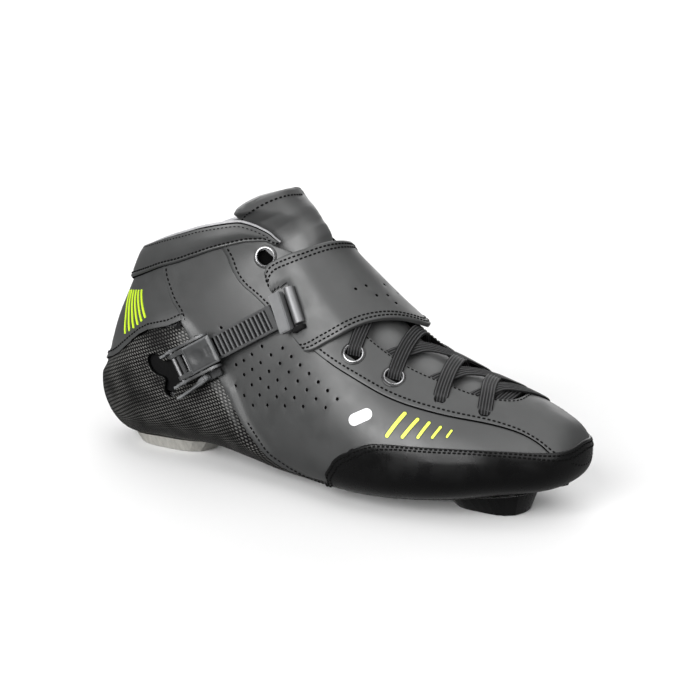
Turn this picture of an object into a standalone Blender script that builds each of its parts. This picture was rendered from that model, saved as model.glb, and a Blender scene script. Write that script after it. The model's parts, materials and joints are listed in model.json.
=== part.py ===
"""Low speed-skate boot: carbon shell, leather upper, laces, instep strap and ratchet buckle.

Frame: +X towards the toe, +Y medial (inner side), +Z up. The origin is the centre of the heel
mounting face. Sizes below are in millimetres and are scaled to metres when a mesh is made.
"""
import math

import bmesh
import bpy
import numpy as np
from mathutils import Matrix, Vector
from mathutils.bvhtree import BVHTree

MM = 0.001

# Driving dimensions
MOUNT_SPACING = 195.0       # heel mount to front mount, the common frame spacing
SEAM = 0.35                 # half of the gap between neighbouring panels
UPPER = (-1.9, 0.0)         # panel layers, as distances from the skin, inside to outside
LINING = (-5.4, -3.3)
SHELL = (0.9, 2.9)
RAND = (0.8, 2.5)
COLLAR = (-1.9, 1.2)
LACE = (0.7, 2.2)
STRAP = (3.6, 5.8)
TONGUE_DEPTH = (-9.6, -6.2)
FOOTBED = (-9.2, -6.6)

# The skin of the last: one row per station from the toe tip to the top of the collar.
# back/bottom point x, z; front/top point x, z; lateral and medial half widths; centre y;
# height share of the widest point; boxiness below and above it
STATIONS = np.array([
    (238, 31, 238, 31, 0, 0, 10, .48, 2.2, 2.0),
    (235, 21, 232, 42.5, 17, 14, 10, .46, 2.4, 2.0),
    (226, 15.5, 219, 50, 29, 24, 9, .43, 2.8, 1.9),
    (207, 13, 201, 57.5, 40, 32, 7, .40, 3.4, 1.8),
    (182, 9, 177, 65, 47, 38, 5, .38, 4.0, 1.8),
    (154, 6, 152, 76, 50, 42, 3, .36, 4.2, 1.8),
    (125, 4, 129, 92, 48, 42, 2, .35, 4.0, 1.9),
    (95, 5, 113, 106, 43, 38, 1, .35, 3.6, 2.0),
    (65, 8, 103, 116, 38, 35, 0, .36, 3.3, 2.0),
    (35, 10, 98, 123, 35, 34, 0, .40, 3.0, 2.1),
    (3, 8, 95, 128, 34, 34, 0, .44, 2.8, 2.2),
    (-28, 8, 92, 132, 34, 33, 0, .48, 2.5, 2.2),
    (-42, 23, 89, 136, 34, 33, 0, .50, 2.4, 2.2),
    (-41.5, 45, 87, 140, 34, 33, 0, .52, 2.3, 2.2),
    (-34, 68, 85, 144, 34, 33, 0, .54, 2.3, 2.2),
    (-21.8, 92, 83, 148, 34, 33, 0, .55, 2.3, 2.2),
    (-11, 112.5, 81, 152, 35, 34, 0, .55, 2.3, 2.2),
    (-2.5, 128.5, 79, 158, 36, 35, 0, .55, 2.3, 2.2),
], float)


def with_ends(rows):
    """Adds the row before the toe tip (the first row turned over) and one past the collar."""
    before = rows[1].copy()
    before[0:2], before[2:4] = rows[1][2:4], rows[1][0:2]
    before[4:6] = -rows[1][4:6]
    return np.vstack([before, rows, 2 * rows[-1] - rows[-2]])


KNOTS = with_ends(STATIONS)


def station(t):
    """The skin's row at place t along the boot, by a Catmull-Rom curve."""
    i = np.clip(np.floor(t).astype(int), 0, len(KNOTS) - 4)
    u = (t - i)[..., None]
    a, b, c, d = KNOTS[i], KNOTS[i + 1], KNOTS[i + 2], KNOTS[i + 3]
    return 0.5 * (2 * b + (c - a) * u + (2 * a - 5 * b + 4 * c - d) * u**2
                  + (3 * b - a - 3 * c + d) * u**3)


def skin(t, angle):
    """Points of the skin. angle in degrees: 0 sole centre, 90 lateral, 180 top, -90 medial."""
    t, angle = np.broadcast_arrays(np.asarray(t, float), np.radians(np.asarray(angle, float)))
    bx, bz, tx, tz, wl, wm, yc, widest, below, above = np.moveaxis(station(t), -1, 0)
    cos, sin = np.cos(angle), np.sin(angle)
    power = np.where(cos > 0, below, above)
    side = np.abs(sin) ** (2 / power)
    rise = np.abs(cos) ** (2 / power)
    share = np.where(cos > 0, widest * (1 - rise), widest + (1 - widest) * rise)
    y = yc + np.where(sin >= 0, -np.abs(wl), np.abs(wm)) * side
    return np.stack([bx + (tx - bx) * share, y, bz + (tz - bz) * share], -1)


def to_disc(polar):
    """(place, angle) to flat coordinates with the toe tip at their centre."""
    polar = np.asarray(polar, float)
    angle = np.radians(polar[..., 1])
    return np.stack([polar[..., 0] * np.sin(angle), -polar[..., 0] * np.cos(angle)], -1)


def to_polar(disc):
    place = np.hypot(disc[..., 0], disc[..., 1])
    return np.stack([place, np.degrees(np.arctan2(disc[..., 0], -disc[..., 1]))], -1)


def normal(polar):
    """Outward unit normals of the skin, from points a little to each side."""
    disc = to_disc(polar)
    step = (0.1 + 0.03 * polar[..., 0])[..., None]
    sides = []
    for direction in ((1.0, 0.0), (0.0, 1.0)):
        ahead = to_polar(disc + step * direction)
        behind = to_polar(disc - step * direction)
        sides.append(skin(ahead[..., 0], ahead[..., 1]) - skin(behind[..., 0], behind[..., 1]))
    out = np.cross(sides[1], sides[0])
    return out / np.linalg.norm(out, axis=-1, keepdims=True)


def on_skin(polar, off=0.0):
    """Points at the distance off from the skin."""
    polar = np.asarray(polar, float)
    return skin(polar[..., 0], polar[..., 1]) + normal(polar) * np.asarray(off)[..., None]


def curve(points, count, chart):
    """count + 1 points evenly spaced on the skin along a smooth curve through the given points."""
    p = to_disc(points) if chart == "disc" else np.asarray(points, float)
    ghost = np.vstack([2 * p[0] - p[1], p, 2 * p[-1] - p[-2]])
    u = np.linspace(0, len(p) - 1, 40 * len(p))
    i = np.minimum(u.astype(int), len(p) - 2)
    f = (u - i)[:, None]
    a, b, c, d = ghost[i], ghost[i + 1], ghost[i + 2], ghost[i + 3]
    fine = 0.5 * (2 * b + (c - a) * f + (2 * a - 5 * b + 4 * c - d) * f**2
                  + (3 * b - a - 3 * c + d) * f**3)
    polar = to_polar(fine) if chart == "disc" else fine
    where = skin(polar[:, 0], polar[:, 1])
    length = np.concatenate([[0], np.cumsum(np.linalg.norm(np.diff(where, axis=0), axis=1))])
    even = np.linspace(0, length[-1], count + 1)
    return np.stack([np.interp(even, length, fine[:, k]) for k in (0, 1)], -1)


def ruled(low, high, along, across, chart="polar", seam=SEAM):
    """A grid of (place, angle) between two edges, pulled in by the seam gap all round."""
    first, second = curve(low, along, chart), curve(high, along, chart)
    flat = to_polar if chart == "disc" else (lambda q: q)
    a, b = flat(first), flat(second)
    width = np.linalg.norm(skin(a[:, 0], a[:, 1]) - skin(b[:, 0], b[:, 1]), axis=1)
    pull = np.minimum(seam / np.maximum(width, 1e-6), 0.2)[:, None]
    share = pull + (1 - 2 * pull) * np.linspace(0, 1, across + 1)[None, :]
    grid = first[:, None, :] * (1 - share[..., None]) + second[:, None, :] * share[..., None]
    for end, inner in ((0, 1), (-1, -2)):
        ends, inners = flat(grid[end]), flat(grid[inner])
        gap = np.linalg.norm(on_skin(ends) - on_skin(inners), axis=-1)[:, None]
        grid[end] += (grid[inner] - grid[end]) * np.minimum(seam / gap, 0.3)
    return flat(grid)


def mirrored(points):
    """The same points on the other side of the boot."""
    return [(place, -angle) for place, angle in points]


# ---- making objects ----

def material(name, colour, roughness, metallic=0.0):
    mat = bpy.data.materials.new(name)
    mat.use_nodes = True
    shader = mat.node_tree.nodes["Principled BSDF"]
    shader.inputs["Base Color"].default_value = (*colour, 1)
    shader.inputs["Roughness"].default_value = roughness
    shader.inputs["Metallic"].default_value = metallic
    mat.diffuse_color = (*colour, 1)
    return mat


def add(name, mesh, mat, smooth=True):
    """Turns a bmesh in millimetres into a named object in metres, faces pointing out."""
    bmesh.ops.recalc_face_normals(mesh, faces=mesh.faces)
    if mesh.calc_volume(signed=True) < 0:
        bmesh.ops.reverse_faces(mesh, faces=mesh.faces)
    bmesh.ops.scale(mesh, vec=(MM, MM, MM), verts=mesh.verts)
    data = bpy.data.meshes.new(name)
    mesh.to_mesh(data)
    mesh.free()
    if smooth:
        data.shade_smooth()
        data.set_sharp_from_angle(angle=math.radians(40))
    obj = bpy.data.objects.new(name, data)
    data.materials.append(mat)
    bpy.context.scene.collection.objects.link(obj)
    return obj


def shell_mesh(inner, outer):
    """A closed sheet between two grids of points of the same size."""
    rows, columns = outer.shape[:2]
    mesh = bmesh.new()
    layers = [[[mesh.verts.new(p) for p in row] for row in grid] for grid in (inner, outer)]
    for layer in layers:
        for i in range(rows - 1):
            for j in range(columns - 1):
                mesh.faces.new((layer[i][j], layer[i + 1][j], layer[i + 1][j + 1], layer[i][j + 1]))
    border = ([(i, 0) for i in range(rows)] + [(rows - 1, j) for j in range(1, columns)]
              + [(i, columns - 1) for i in range(rows - 2, -1, -1)]
              + [(0, j) for j in range(columns - 2, 0, -1)])
    for (i, j), (k, m) in zip(border, border[1:] + border[:1]):
        mesh.faces.new((layers[0][i][j], layers[0][k][m], layers[1][k][m], layers[1][i][j]))
    return mesh


def panel(name, grid, layer, mat):
    """A sheet of the upper over a (place, angle) grid, between two distances from the skin."""
    lift_in, lift_out = (np.broadcast_to(np.asarray(v, float), grid.shape[:2]) for v in layer)
    return add(name, shell_mesh(on_skin(grid, lift_in), on_skin(grid, lift_out)), mat)


def tube_mesh(path, radius, sides):
    """A round bar along a path of points, with flat ends."""
    path = np.asarray(path, float)
    tangent = np.gradient(path, axis=0)
    mesh = bmesh.new()
    rings = []
    side = Vector(tangent[0]).orthogonal().normalized()
    for centre, direction in zip(path, tangent):
        ahead = Vector(direction).normalized()
        side = (side - ahead * side.dot(ahead)).normalized()
        other = ahead.cross(side)
        turns = [2 * math.pi * k / sides for k in range(sides)]
        rings.append([mesh.verts.new(Vector(centre) + (side * math.cos(a) + other * math.sin(a)) * radius)
                      for a in turns])
    for first, second in zip(rings, rings[1:]):
        for k in range(sides):
            mesh.faces.new((first[k], first[k - 1], second[k - 1], second[k]))
    mesh.faces.new(rings[0])
    mesh.faces.new(reversed(rings[-1]))
    return mesh


def prism(outline, low, high):
    """An upright block over an (x, y) outline."""
    mesh = bmesh.new()
    bottom = [mesh.verts.new((x, y, low)) for x, y in outline]
    top = [mesh.verts.new((x, y, high)) for x, y in outline]
    mesh.faces.new(bottom)
    mesh.faces.new(top)
    for k in range(len(outline)):
        mesh.faces.new((bottom[k - 1], bottom[k], top[k], top[k - 1]))
    return mesh


def ring_mesh(inner, outer, low, high, sides):
    """A flat round washer about Z; inner 0 makes a disc."""
    mesh = bmesh.new()
    turns = [2 * math.pi * k / sides for k in range(sides)]
    if inner <= 0:
        mesh.free()
        return prism([(outer * math.cos(a), outer * math.sin(a)) for a in turns], low, high)
    corners = ((inner, low), (outer, low), (outer, high), (inner, high))
    loops = [[mesh.verts.new((r * math.cos(a), r * math.sin(a), z)) for a in turns] for r, z in corners]
    for a, b in zip(loops, loops[1:] + loops[:1]):
        for k in range(sides):
            mesh.faces.new((a[k - 1], a[k], b[k], b[k - 1]))
    return mesh


def cut(obj, cutter):
    """Subtracts the cutter, which stays in the file as a wire guide."""
    cutter.hide_render = True
    cutter.display_type = "WIRE"
    tool = obj.modifiers.new("cut_" + cutter.name, "BOOLEAN")
    tool.operation = "DIFFERENCE"
    tool.object = cutter


def fuse(obj, other):
    """Adds the other shape to the object, and leaves the other out of the part."""
    other.hide_render = True
    other.display_type = "WIRE"
    tool = obj.modifiers.new("add_" + other.name, "BOOLEAN")
    tool.operation = "UNION"
    tool.object = other


# ---- seams and edges, as (place, angle) points on the lateral side ----

COLLAR_SEAM = [(11.6, 143.4), (12.74, 139.0), (13.74, 125.2), (14.32, 108.8), (14.67, 88.6),
               (14.97, 70.5), (15.05, 54.0), (15.1, 30.0), (15.1, 0.0)]
RIM = [(11.5, 146.0), (12.5, 142.4), (13.6, 136.0), (14.61, 125.5), (15.1, 114.8), (15.55, 100.5),
       (15.78, 84.0), (15.95, 60.0), (16.0, 30.0), (16.0, 0.0)]
EYESTAY_OUTER = [(14.05, 110.6), (12.73, 117.4), (11.06, 120.7), (9.0, 121.5), (6.76, 124.5),
                 (5.45, 128.2), (4.35, 130.5), (3.2, 133.5), (2.45, 132.7), (1.9, 126.0),
                 (1.3, 105.0), (0.8, 70.0), (0.6, 0.0)]
EYESTAY_INNER = [(11.5, 142.6), (10.2, 148.0), (8.5, 150.0), (5.65, 151.5), (4.28, 153.8),
                 (3.5, 155.0), (2.95, 163.0), (2.8, 180.0)]
QUARTER_LOW = [(14.95, 72.5), (13.47, 84.6), (12.24, 91.4), (11.3, 89.0), (10.4, 76.0), (9.3, 70.0),
               (8.5, 56.0), (7.6, 36.0), (6.9, 30.0), (6.2, 32.0), (5.5, 46.0), (4.4, 56.0),
               (3.0, 60.0), (2.0, 66.0)]
QUARTER_HIGH = [(14.05, 109.6), (12.73, 116.6), (11.06, 120.0), (9.0, 120.8), (6.76, 123.8),
                (5.45, 127.5), (4.35, 129.8), (3.2, 132.8), (2.45, 131.5), (1.95, 122.0)]
HEEL_SEAM = [(11.9, 89.0), (12.24, 90.6), (13.47, 83.8), (14.2, 77.0), (14.95, 71.6)]
RAND_TOP = [(6.12, 58.0), (5.98, 76.5), (5.76, 87.8), (5.4, 93.0), (4.9, 100.5), (4.35, 102.7),
            (3.35, 107.2), (2.35, 109.5), (1.45, 109.5), (0.85, 122.0), (0.55, 180.0)]
RAND_LOW = [(6.3, 40.0), (5.6, 43.0), (4.8, 44.0), (4.0, 44.0), (3.0, 43.0), (2.1, 38.0),
            (1.5, 25.0), (1.35, 0.0)]
SHELL_SPAN = [(1.75, 12), (2.1, 23), (2.4, 29), (3.0, 34), (4.0, 36), (5.5, 36), (6.6, 35), (7.2, 41),
              (7.6, 60), (8.48, 81), (9.16, 87.8), (10.0, 91), (11.1, 93.2), (11.74, 90.8), (12.37, 81),
              (12.6, 68), (12.8, 50), (12.88, 33)]
LINING_SPAN = [(0.9, 177), (1.8, 177), (2.7, 175), (3.3, 157), (4.0, 149), (9.0, 148), (11.0, 144),
               (12.3, 140), (13.4, 134), (14.4, 124), (14.9, 114), (15.3, 100), (15.55, 84),
               (15.7, 60), (15.78, 34)]
# place, then the tongue's lateral and medial edges
TONGUE_SPAN = [(3.1, 166, 194), (4.0, 150, 210), (6.0, 142, 218), (12.0, 135, 225), (13.0, 130, 222),
               (14.0, 124, 214), (15.0, 117, 203), (15.3, 116, 199), (15.55, 118, 195),
               (15.75, 127, 188), (15.87, 138, 178)]
TONGUE_RISE = 5.0
STRAP_TOP = [(10.19, 144.8), (9.43, 160.0), (8.71, 182.0), (8.75, 200.0), (9.3, 225.0),
             (9.9, 245.0), (10.3, 262.0)]
STRAP_BOTTOM = [(6.2, 144.0), (5.99, 154.2), (5.69, 168.2), (5.4, 184.5), (5.35, 200.0),
                (5.9, 220.0), (7.2, 240.0), (8.9, 262.0)]
RECESS_REAR = [(11.72, 76.0), (11.3, 68.0), (10.73, 64.8)]
RECESS_FRONT = [(11.16, 84.0), (10.8, 78.0), (10.28, 71.0)]
EYELETS = ((11.31, 135.8), (5.93, 137.2), (5.05, 141.0))
STRAP_ANCHOR = (9.6, 256.0)

# ---- buckle: a frame along the ladder strap, x towards the instep, z away from the boot ----

BUCKLE_CENTRE = on_skin((10.19, 90.8))
LADDER_TILT = 0.03
_run = Vector((0.860, 0.055, 0.505)).normalized()
_out = (Vector((0, -1, 0)) - _run * _run.dot(Vector((0, -1, 0)))).normalized()
RUN = (_run - _out * LADDER_TILT).normalized()
OUT = (_out - RUN * RUN.dot(_out)).normalized()
ACROSS = OUT.cross(RUN)
SEAT = 4.2                  # underside of the buckle above the skin
PLATE = SEAT + 1.2
LADDER_LOW, LADDER_HIGH = SEAT + 1.5, SEAT + 3.3
RIB_PITCH, RIB_WIDTH, RIB_DEPTH = 2.75, 1.1, 0.9
LADDER_HALF = 6.5
CHEEK_IN, CHEEK_OUT = 8.0, 9.4
LEVER_PIN = (-12.0, SEAT + 5.6)
PAWL_PIN = (0.0, SEAT + 4.7)
RELEASE_PIN = (-1.0, -11.7)
BLOCK_X = (52.7, 59.5)
BLOCK_Z = (2.5, 7.2)
STRAP_PIN = (63.7, 3.5)
END_TWIST = -14.0           # turn of the strap's end about the ladder's run, to lie on the ankle


def buckle_frame():
    frame = Matrix.Identity(4)
    for column, axis in enumerate((RUN, ACROSS, OUT)):
        for row in range(3):
            frame[row][column] = axis[row]
    return Matrix.Translation(Vector(BUCKLE_CENTRE)) @ frame


FRAME = buckle_frame()


def local(mesh):
    """Moves a mesh from the buckle's frame to the boot's."""
    mesh.transform(FRAME)
    return mesh


def twisted(mesh, height, degrees):
    """Turns a mesh about the buckle frame's x direction, at the given height."""
    turn = Matrix.Rotation(math.radians(degrees), 4, "X")
    mesh.transform(Matrix.Translation((0, 0, height)) @ turn @ Matrix.Translation((0, 0, -height)))
    return mesh


def block(name, x, y, z, mat, bevel=0.0, twist=0.0):
    mesh = prism([(x[0], y[0]), (x[1], y[0]), (x[1], y[1]), (x[0], y[1])], z[0], z[1])
    if bevel:
        bmesh.ops.bevel(mesh, geom=mesh.edges[:], offset=bevel, segments=1, affect="EDGES")
    return add(name, local(twisted(mesh, sum(z) / 2, twist)), mat)


def side_profile(outline, y0, y1):
    """A block over an (x, z) outline, from y0 to y1."""
    mesh = prism([(x, z) for x, z in outline], -y1, -y0)
    mesh.transform(Matrix.Rotation(math.radians(90), 4, "X"))
    return mesh


def cross_bar(name, x, z, radius, half, mat, twist=0.0):
    mesh = ring_mesh(0, radius, -half, half, 16)
    mesh.transform(Matrix.Translation((x, 0, z)) @ Matrix.Rotation(math.radians(90), 4, "X"))
    return add(name, local(twisted(mesh, z, twist)), mat)


# ---- boot ----

def span_grid(spans, places, columns):
    """Rows at given places, each from -span to +span degrees round the sole."""
    table = np.array(spans, float)
    reach = np.interp(places, table[:, 0], table[:, 1])
    share = np.linspace(-1, 1, columns + 1)
    return np.stack([np.broadcast_to(np.asarray(places)[:, None], (len(places), columns + 1)),
                     reach[:, None] * share[None, :]], -1)


def make_shell(mat):
    places = [1.75, 2.1, 2.4, 3.0, 4.0, 4.8, 5.6, 6.5, 7.2, 7.6, 8.1, 8.5, 9.2, 9.8, 10.4, 10.9, 11.3,
              11.74, 12.1, 12.37, 12.6, 12.8, 12.88]
    return panel("carbon_shell", span_grid(SHELL_SPAN, places, 18), SHELL, mat)


def make_lining(mat):
    places = [0.9, 1.3, 1.8, 2.7, 3.3, 4.0, 4.7, 5.4, 6.1, 6.8, 7.5, 8.2, 8.9, 9.6, 10.3, 11.0, 11.6,
              12.3, 12.9, 13.4, 13.9, 14.4, 14.9, 15.3, 15.55, 15.7, 15.78]
    grid = span_grid(LINING_SPAN, places, 22)
    toe_room = np.clip(2.4 - grid[..., 0], 0, 1)      # the tight toe curve is cut from longer chords
    return panel("lining", grid, (LINING[0] - toe_room, LINING[1] - toe_room), mat)


def make_footbed(mat):
    places = np.linspace(2.4, 11.2, 13)
    return panel("footbed", span_grid([(2.4, 18), (3.6, 28), (11.2, 24)], places, 4), FOOTBED, mat)


def make_heel_panel(mat):
    return panel("heel_panel", ruled(mirrored(HEEL_SEAM), HEEL_SEAM, 7, 22), UPPER, mat)


def make_quarter(name, side, mat):
    low = QUARTER_LOW if side == "lateral" else mirrored(QUARTER_LOW)
    high = QUARTER_HIGH if side == "lateral" else mirrored(QUARTER_HIGH)
    return panel(name, ruled(low, high, 26, 7), UPPER, mat)


def both_sides(points):
    """A lateral edge that runs on, mirrored, along the medial side."""
    return points + mirrored(points[-2::-1])


def make_eyestay(mat):
    grid = ruled(both_sides(EYESTAY_OUTER), both_sides(EYESTAY_INNER), 56, 4, "disc")
    return panel("eyestay", grid, UPPER, mat)


def make_collar(mat):
    grid = ruled(both_sides(COLLAR_SEAM), both_sides(RIM), 36, 2)
    return panel("collar_band", grid, COLLAR, mat)


def make_piping(mat):
    above = [(place + 0.18, angle) for place, angle in both_sides(RIM)]
    line = curve(above, 48, "polar")
    return add("collar_piping", tube_mesh(on_skin(line, -0.4), 0.85, 5), mat)


def make_rand(mat):
    grid = ruled(both_sides(RAND_LOW), both_sides(RAND_TOP), 52, 6, "disc")
    return panel("toe_rand", grid, RAND, mat)


def make_tongue(mat):
    places = np.concatenate([np.linspace(3.1, 15.0, 15), [15.3, 15.55, 15.75, 15.87]])
    table = np.array(TONGUE_SPAN, float)
    lateral = np.interp(places, table[:, 0], table[:, 1])[:, None]
    medial = np.interp(places, table[:, 0], table[:, 2])[:, None]
    across = lateral + (medial - lateral) * np.linspace(0, 1, 9)
    grid = np.stack([np.repeat(places[:, None], 9, 1), across], -1)
    rim = np.array(RIM[::-1], float)
    clear = 180 - np.interp(grid[..., 0], *rim[np.argsort(rim[:, 0])].T) - abs(grid[..., 1] - 180)
    lift = TONGUE_RISE * np.clip((grid[..., 0] - 12.5) / 2.0, 0, 1) * np.clip((clear - 5) / 14, 0, 1)
    return panel("tongue", grid, (TONGUE_DEPTH[0] + lift, TONGUE_DEPTH[1] + lift), mat)


def make_strap(mat):
    return panel("instep_strap", ruled(STRAP_BOTTOM, STRAP_TOP, 20, 6), STRAP, mat)


def placed(mesh, polar, off):
    """Stands a mesh made about Z on the skin, its Z along the normal."""
    point = np.asarray(polar, float)
    where = Vector(on_skin(point, off))
    out = Vector(normal(point))
    mesh.transform(Matrix.Translation(where) @ out.to_track_quat("Z", "Y").to_matrix().to_4x4())
    return mesh


def make_eyelets(mat):
    for side, sign in (("lateral", 1), ("medial", -1)):
        for number, (place, angle) in enumerate(EYELETS, 1):
            ring = placed(ring_mesh(3.3, 5.7, 0.0, 1.1, 14), (place, sign * angle), 0.75)
            add(f"eyelet_{side}_{number}", ring, mat)


def make_laces(mat):
    half_width = 0.13
    for number, place in enumerate((5.45, 5.0, 4.55, 4.1, 3.65), 1):
        low = [(place - half_width, angle) for angle in (157, 180, 203)]
        high = [(place + half_width, angle) for angle in (157, 180, 203)]
        panel(f"lace_{number}", ruled(low, high, 8, 1, seam=0), LACE, mat)


def sole_height(tree, x, y):
    """Height of the shell's underside over a point of the ground."""
    hit = tree.ray_cast(Vector((x, y, -30)), Vector((0, 0, 1)))[0]
    return hit.z


def make_mount_block(name, x_range, half_width, shift, tree, mat):
    """A block from the shell down to the mounting plane at z = 0, with a pocket for its insert."""
    columns, rows = 8, 8
    mesh = bmesh.new()
    grids = []
    middle = sum(x_range) / 2
    half_length = (x_range[1] - x_range[0]) / 2
    for level in ("top", "bottom"):
        grid = []
        for i in range(columns + 1):
            u = -1 + 2 * i / columns
            width = half_width * (1 - 0.35 * abs(u) ** 4)
            row = []
            for j in range(rows + 1):
                v = -1 + 2 * j / rows
                length = half_length * (1 - 0.12 * v * v)
                x, y = middle + length * u, width * v
                if level == "top":
                    z = sole_height(tree, x, y)
                else:
                    x, y, z = middle + shift + length * u * 0.84, width * v * 0.78, 0.0
                row.append(mesh.verts.new((x, y, z)))
            grid.append(row)
        grids.append(grid)
    for grid in grids:
        for i in range(columns):
            for j in range(rows):
                mesh.faces.new((grid[i][j], grid[i + 1][j], grid[i + 1][j + 1], grid[i][j + 1]))
    border = ([(i, 0) for i in range(columns + 1)] + [(columns, j) for j in range(1, rows + 1)]
              + [(i, rows) for i in range(columns - 1, -1, -1)] + [(0, j) for j in range(rows - 1, 0, -1)])
    for (i, j), (k, m) in zip(border, border[1:] + border[:1]):
        mesh.faces.new((grids[0][i][j], grids[0][k][m], grids[1][k][m], grids[1][i][j]))
    return add(name, mesh, mat)


INSERT_HALF = (15.0, 8.0)
INSERT_HEIGHT = 2.6
THREAD_RADIUS = 2.5
THREAD_OFFSET = 9.0


def make_insert(name, x, holder, mat):
    """A threaded plate let into the block, flush with its face, and the block's pocket for it."""
    length, width = INSERT_HALF
    gap = 0.3
    outline = [(x - length, -width), (x + length, -width), (x + length, width), (x - length, width)]
    room = [(x - length - gap, -width - gap), (x + length + gap, -width - gap),
            (x + length + gap, width + gap), (x - length - gap, width + gap)]
    pocket = add(name + "_pocket", prism(room, -3.0, INSERT_HEIGHT + gap), mat)
    cut(holder, pocket)
    plate = add(name, prism(outline, 0.0, INSERT_HEIGHT), mat)
    for sign in (-1, 1):
        thread = ring_mesh(0, THREAD_RADIUS, -3.0, INSERT_HEIGHT + 3.0, 16)
        thread.transform(Matrix.Translation((x + sign * THREAD_OFFSET, 0, 0)))
        cut(plate, add(f"{name}_thread_{'rear' if sign < 0 else 'front'}", thread, mat))


def shell_tree():
    """The shell's underside with a little air under it, for standing the blocks on."""
    places = np.linspace(0.3, 13.0, 90)
    angles = np.linspace(-90, 90, 61)
    grid = np.stack(np.meshgrid(places, angles, indexing="ij"), -1)
    points = on_skin(grid, SHELL[1] + 0.35)
    rows, columns = points.shape[:2]
    quads = [(i * columns + j, (i + 1) * columns + j, (i + 1) * columns + j + 1, i * columns + j + 1)
             for i in range(rows - 1) for j in range(columns - 1)]
    return BVHTree.FromPolygons([Vector(p) for p in points.reshape(-1, 3)], quads)


# ---- buckle ----

def make_buckle_base(mat):
    cheek = [(-21.8, SEAT + 0.15), (9.8, SEAT + 0.15), (9.8, SEAT + 5.5), (7, SEAT + 7.2),
             (-13, SEAT + 7.6), (-15.5, SEAT + 6.0), (-17, SEAT + 3.0), (-21.8, SEAT + 2.4)]
    base = block("buckle_base", (-22, 10), (-CHEEK_IN - 0.7, CHEEK_IN + 0.7), (SEAT, PLATE), mat)
    for label, low, high in (("upper", CHEEK_IN, CHEEK_OUT), ("lower", -CHEEK_OUT, -CHEEK_IN)):
        fuse(base, add("cheek_" + label, local(side_profile(cheek, low, high)), mat))
    fuse(base, block("release_lug", (-4, 8), (-13.6, -CHEEK_OUT + 0.6), (SEAT + 0.1, PLATE - 0.1), mat))
    for label, (x, z), radius in (("lever", LEVER_PIN, 1.4), ("pawl", PAWL_PIN, 1.3)):
        cut(base, cross_bar(label + "_pin_hole", x, z, radius, 14, mat))
    seat_hole = bmesh.new()
    bmesh.ops.create_cone(seat_hole, cap_ends=True, segments=16, radius1=1.8, radius2=3.25, depth=1.6)
    seat_hole.transform(Matrix.Translation((-4, 0, SEAT + 0.6)))
    cut(base, add("rivet_hole", local(seat_hole), mat))
    pin_hole = ring_mesh(0, 1.2, SEAT - 1, PLATE + 1, 12)
    pin_hole.transform(Matrix.Translation((*RELEASE_PIN, 0)))
    cut(base, add("release_pin_hole", local(pin_hole), mat))
    return base


def make_rivet(mat):
    mesh = bmesh.new()
    bmesh.ops.create_cone(mesh, cap_ends=True, segments=16, radius1=1.5, radius2=2.85, depth=1.45)
    mesh.transform(Matrix.Translation((-4, 0, SEAT + 0.475)))
    return add("buckle_rivet", local(mesh), mat)


def make_lever(mat):
    x, z = LEVER_PIN
    pad = block("buckle_lever", (x + 2.5, 12), (-7.4, 7.4), (SEAT + 6.1, SEAT + 7.9), mat, 0.5)
    for label, low, high in (("upper", 4.9, 7.2), ("lower", -7.2, -4.9)):
        turns = [math.radians(a) for a in range(90, 271, 30)]
        boss = [(x + 1.9 * math.cos(a), z + 1.9 * math.sin(a)) for a in turns]
        outline = boss + [(x + 4.5, z - 0.9), (x + 4.5, z + 1.9)]
        fuse(pad, add("lever_arm_" + label, local(side_profile(outline, low, high)), mat))
    cut(pad, cross_bar("lever_bore", x, z, 1.4, 14, mat))
    return pad


def make_pawl(mat):
    x, z = PAWL_PIN
    shaft = cross_bar("pawl", x, z, 1.0, 9.2, mat)
    outline = [(-1.6, z - 0.9), (6.6, z - 1.0), (8.2, z - 0.9), (8.2, z - 0.2), (5.0, z + 0.5), (-1.6, z + 0.6)]
    fuse(shaft, add("pawl_tooth", local(side_profile(outline, -4.6, 4.6)), mat))
    return shaft


def make_release(mat):
    outline = [(1.2, -10.3), (1.2, -13.0), (-8.0, -14.2), (-19.0, -15.4), (-22.0, -14.9),
               (-22.0, -13.6), (-10.0, -12.3), (-3.5, -10.5)]
    mesh = prism(outline, PLATE + 0.3, SEAT + 4.8)
    release = add("release_lever", local(mesh), mat)
    bore = ring_mesh(0, 1.2, SEAT, SEAT + 8, 12)
    bore.transform(Matrix.Translation((*RELEASE_PIN, 0)))
    cut(release, add("release_bore", local(bore), mat))
    return release


def make_release_pin(mat):
    mesh = ring_mesh(0, 0.9, SEAT, SEAT + 5.1, 12)
    mesh.transform(Matrix.Translation((*RELEASE_PIN, 0)))
    return add("release_pin", local(mesh), mat)


def make_ladder(mat):
    """A toothed strap: its ribs are steps of one side profile."""
    first, last = -8.0, BLOCK_X[0] - 0.3
    outline = [(first, LADDER_LOW), (last, LADDER_LOW), (last, LADDER_HIGH)]
    x = last - 2.0
    while x - RIB_PITCH > first + 0.5:
        outline += [(x, LADDER_HIGH), (x, LADDER_HIGH - RIB_DEPTH)]
        x -= RIB_PITCH - RIB_WIDTH
        outline += [(x, LADDER_HIGH - RIB_DEPTH), (x, LADDER_HIGH)]
        x -= RIB_WIDTH
    outline.append((first, LADDER_HIGH))
    return add("ladder_strap", local(side_profile(outline, -LADDER_HALF, LADDER_HALF)), mat)


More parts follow.
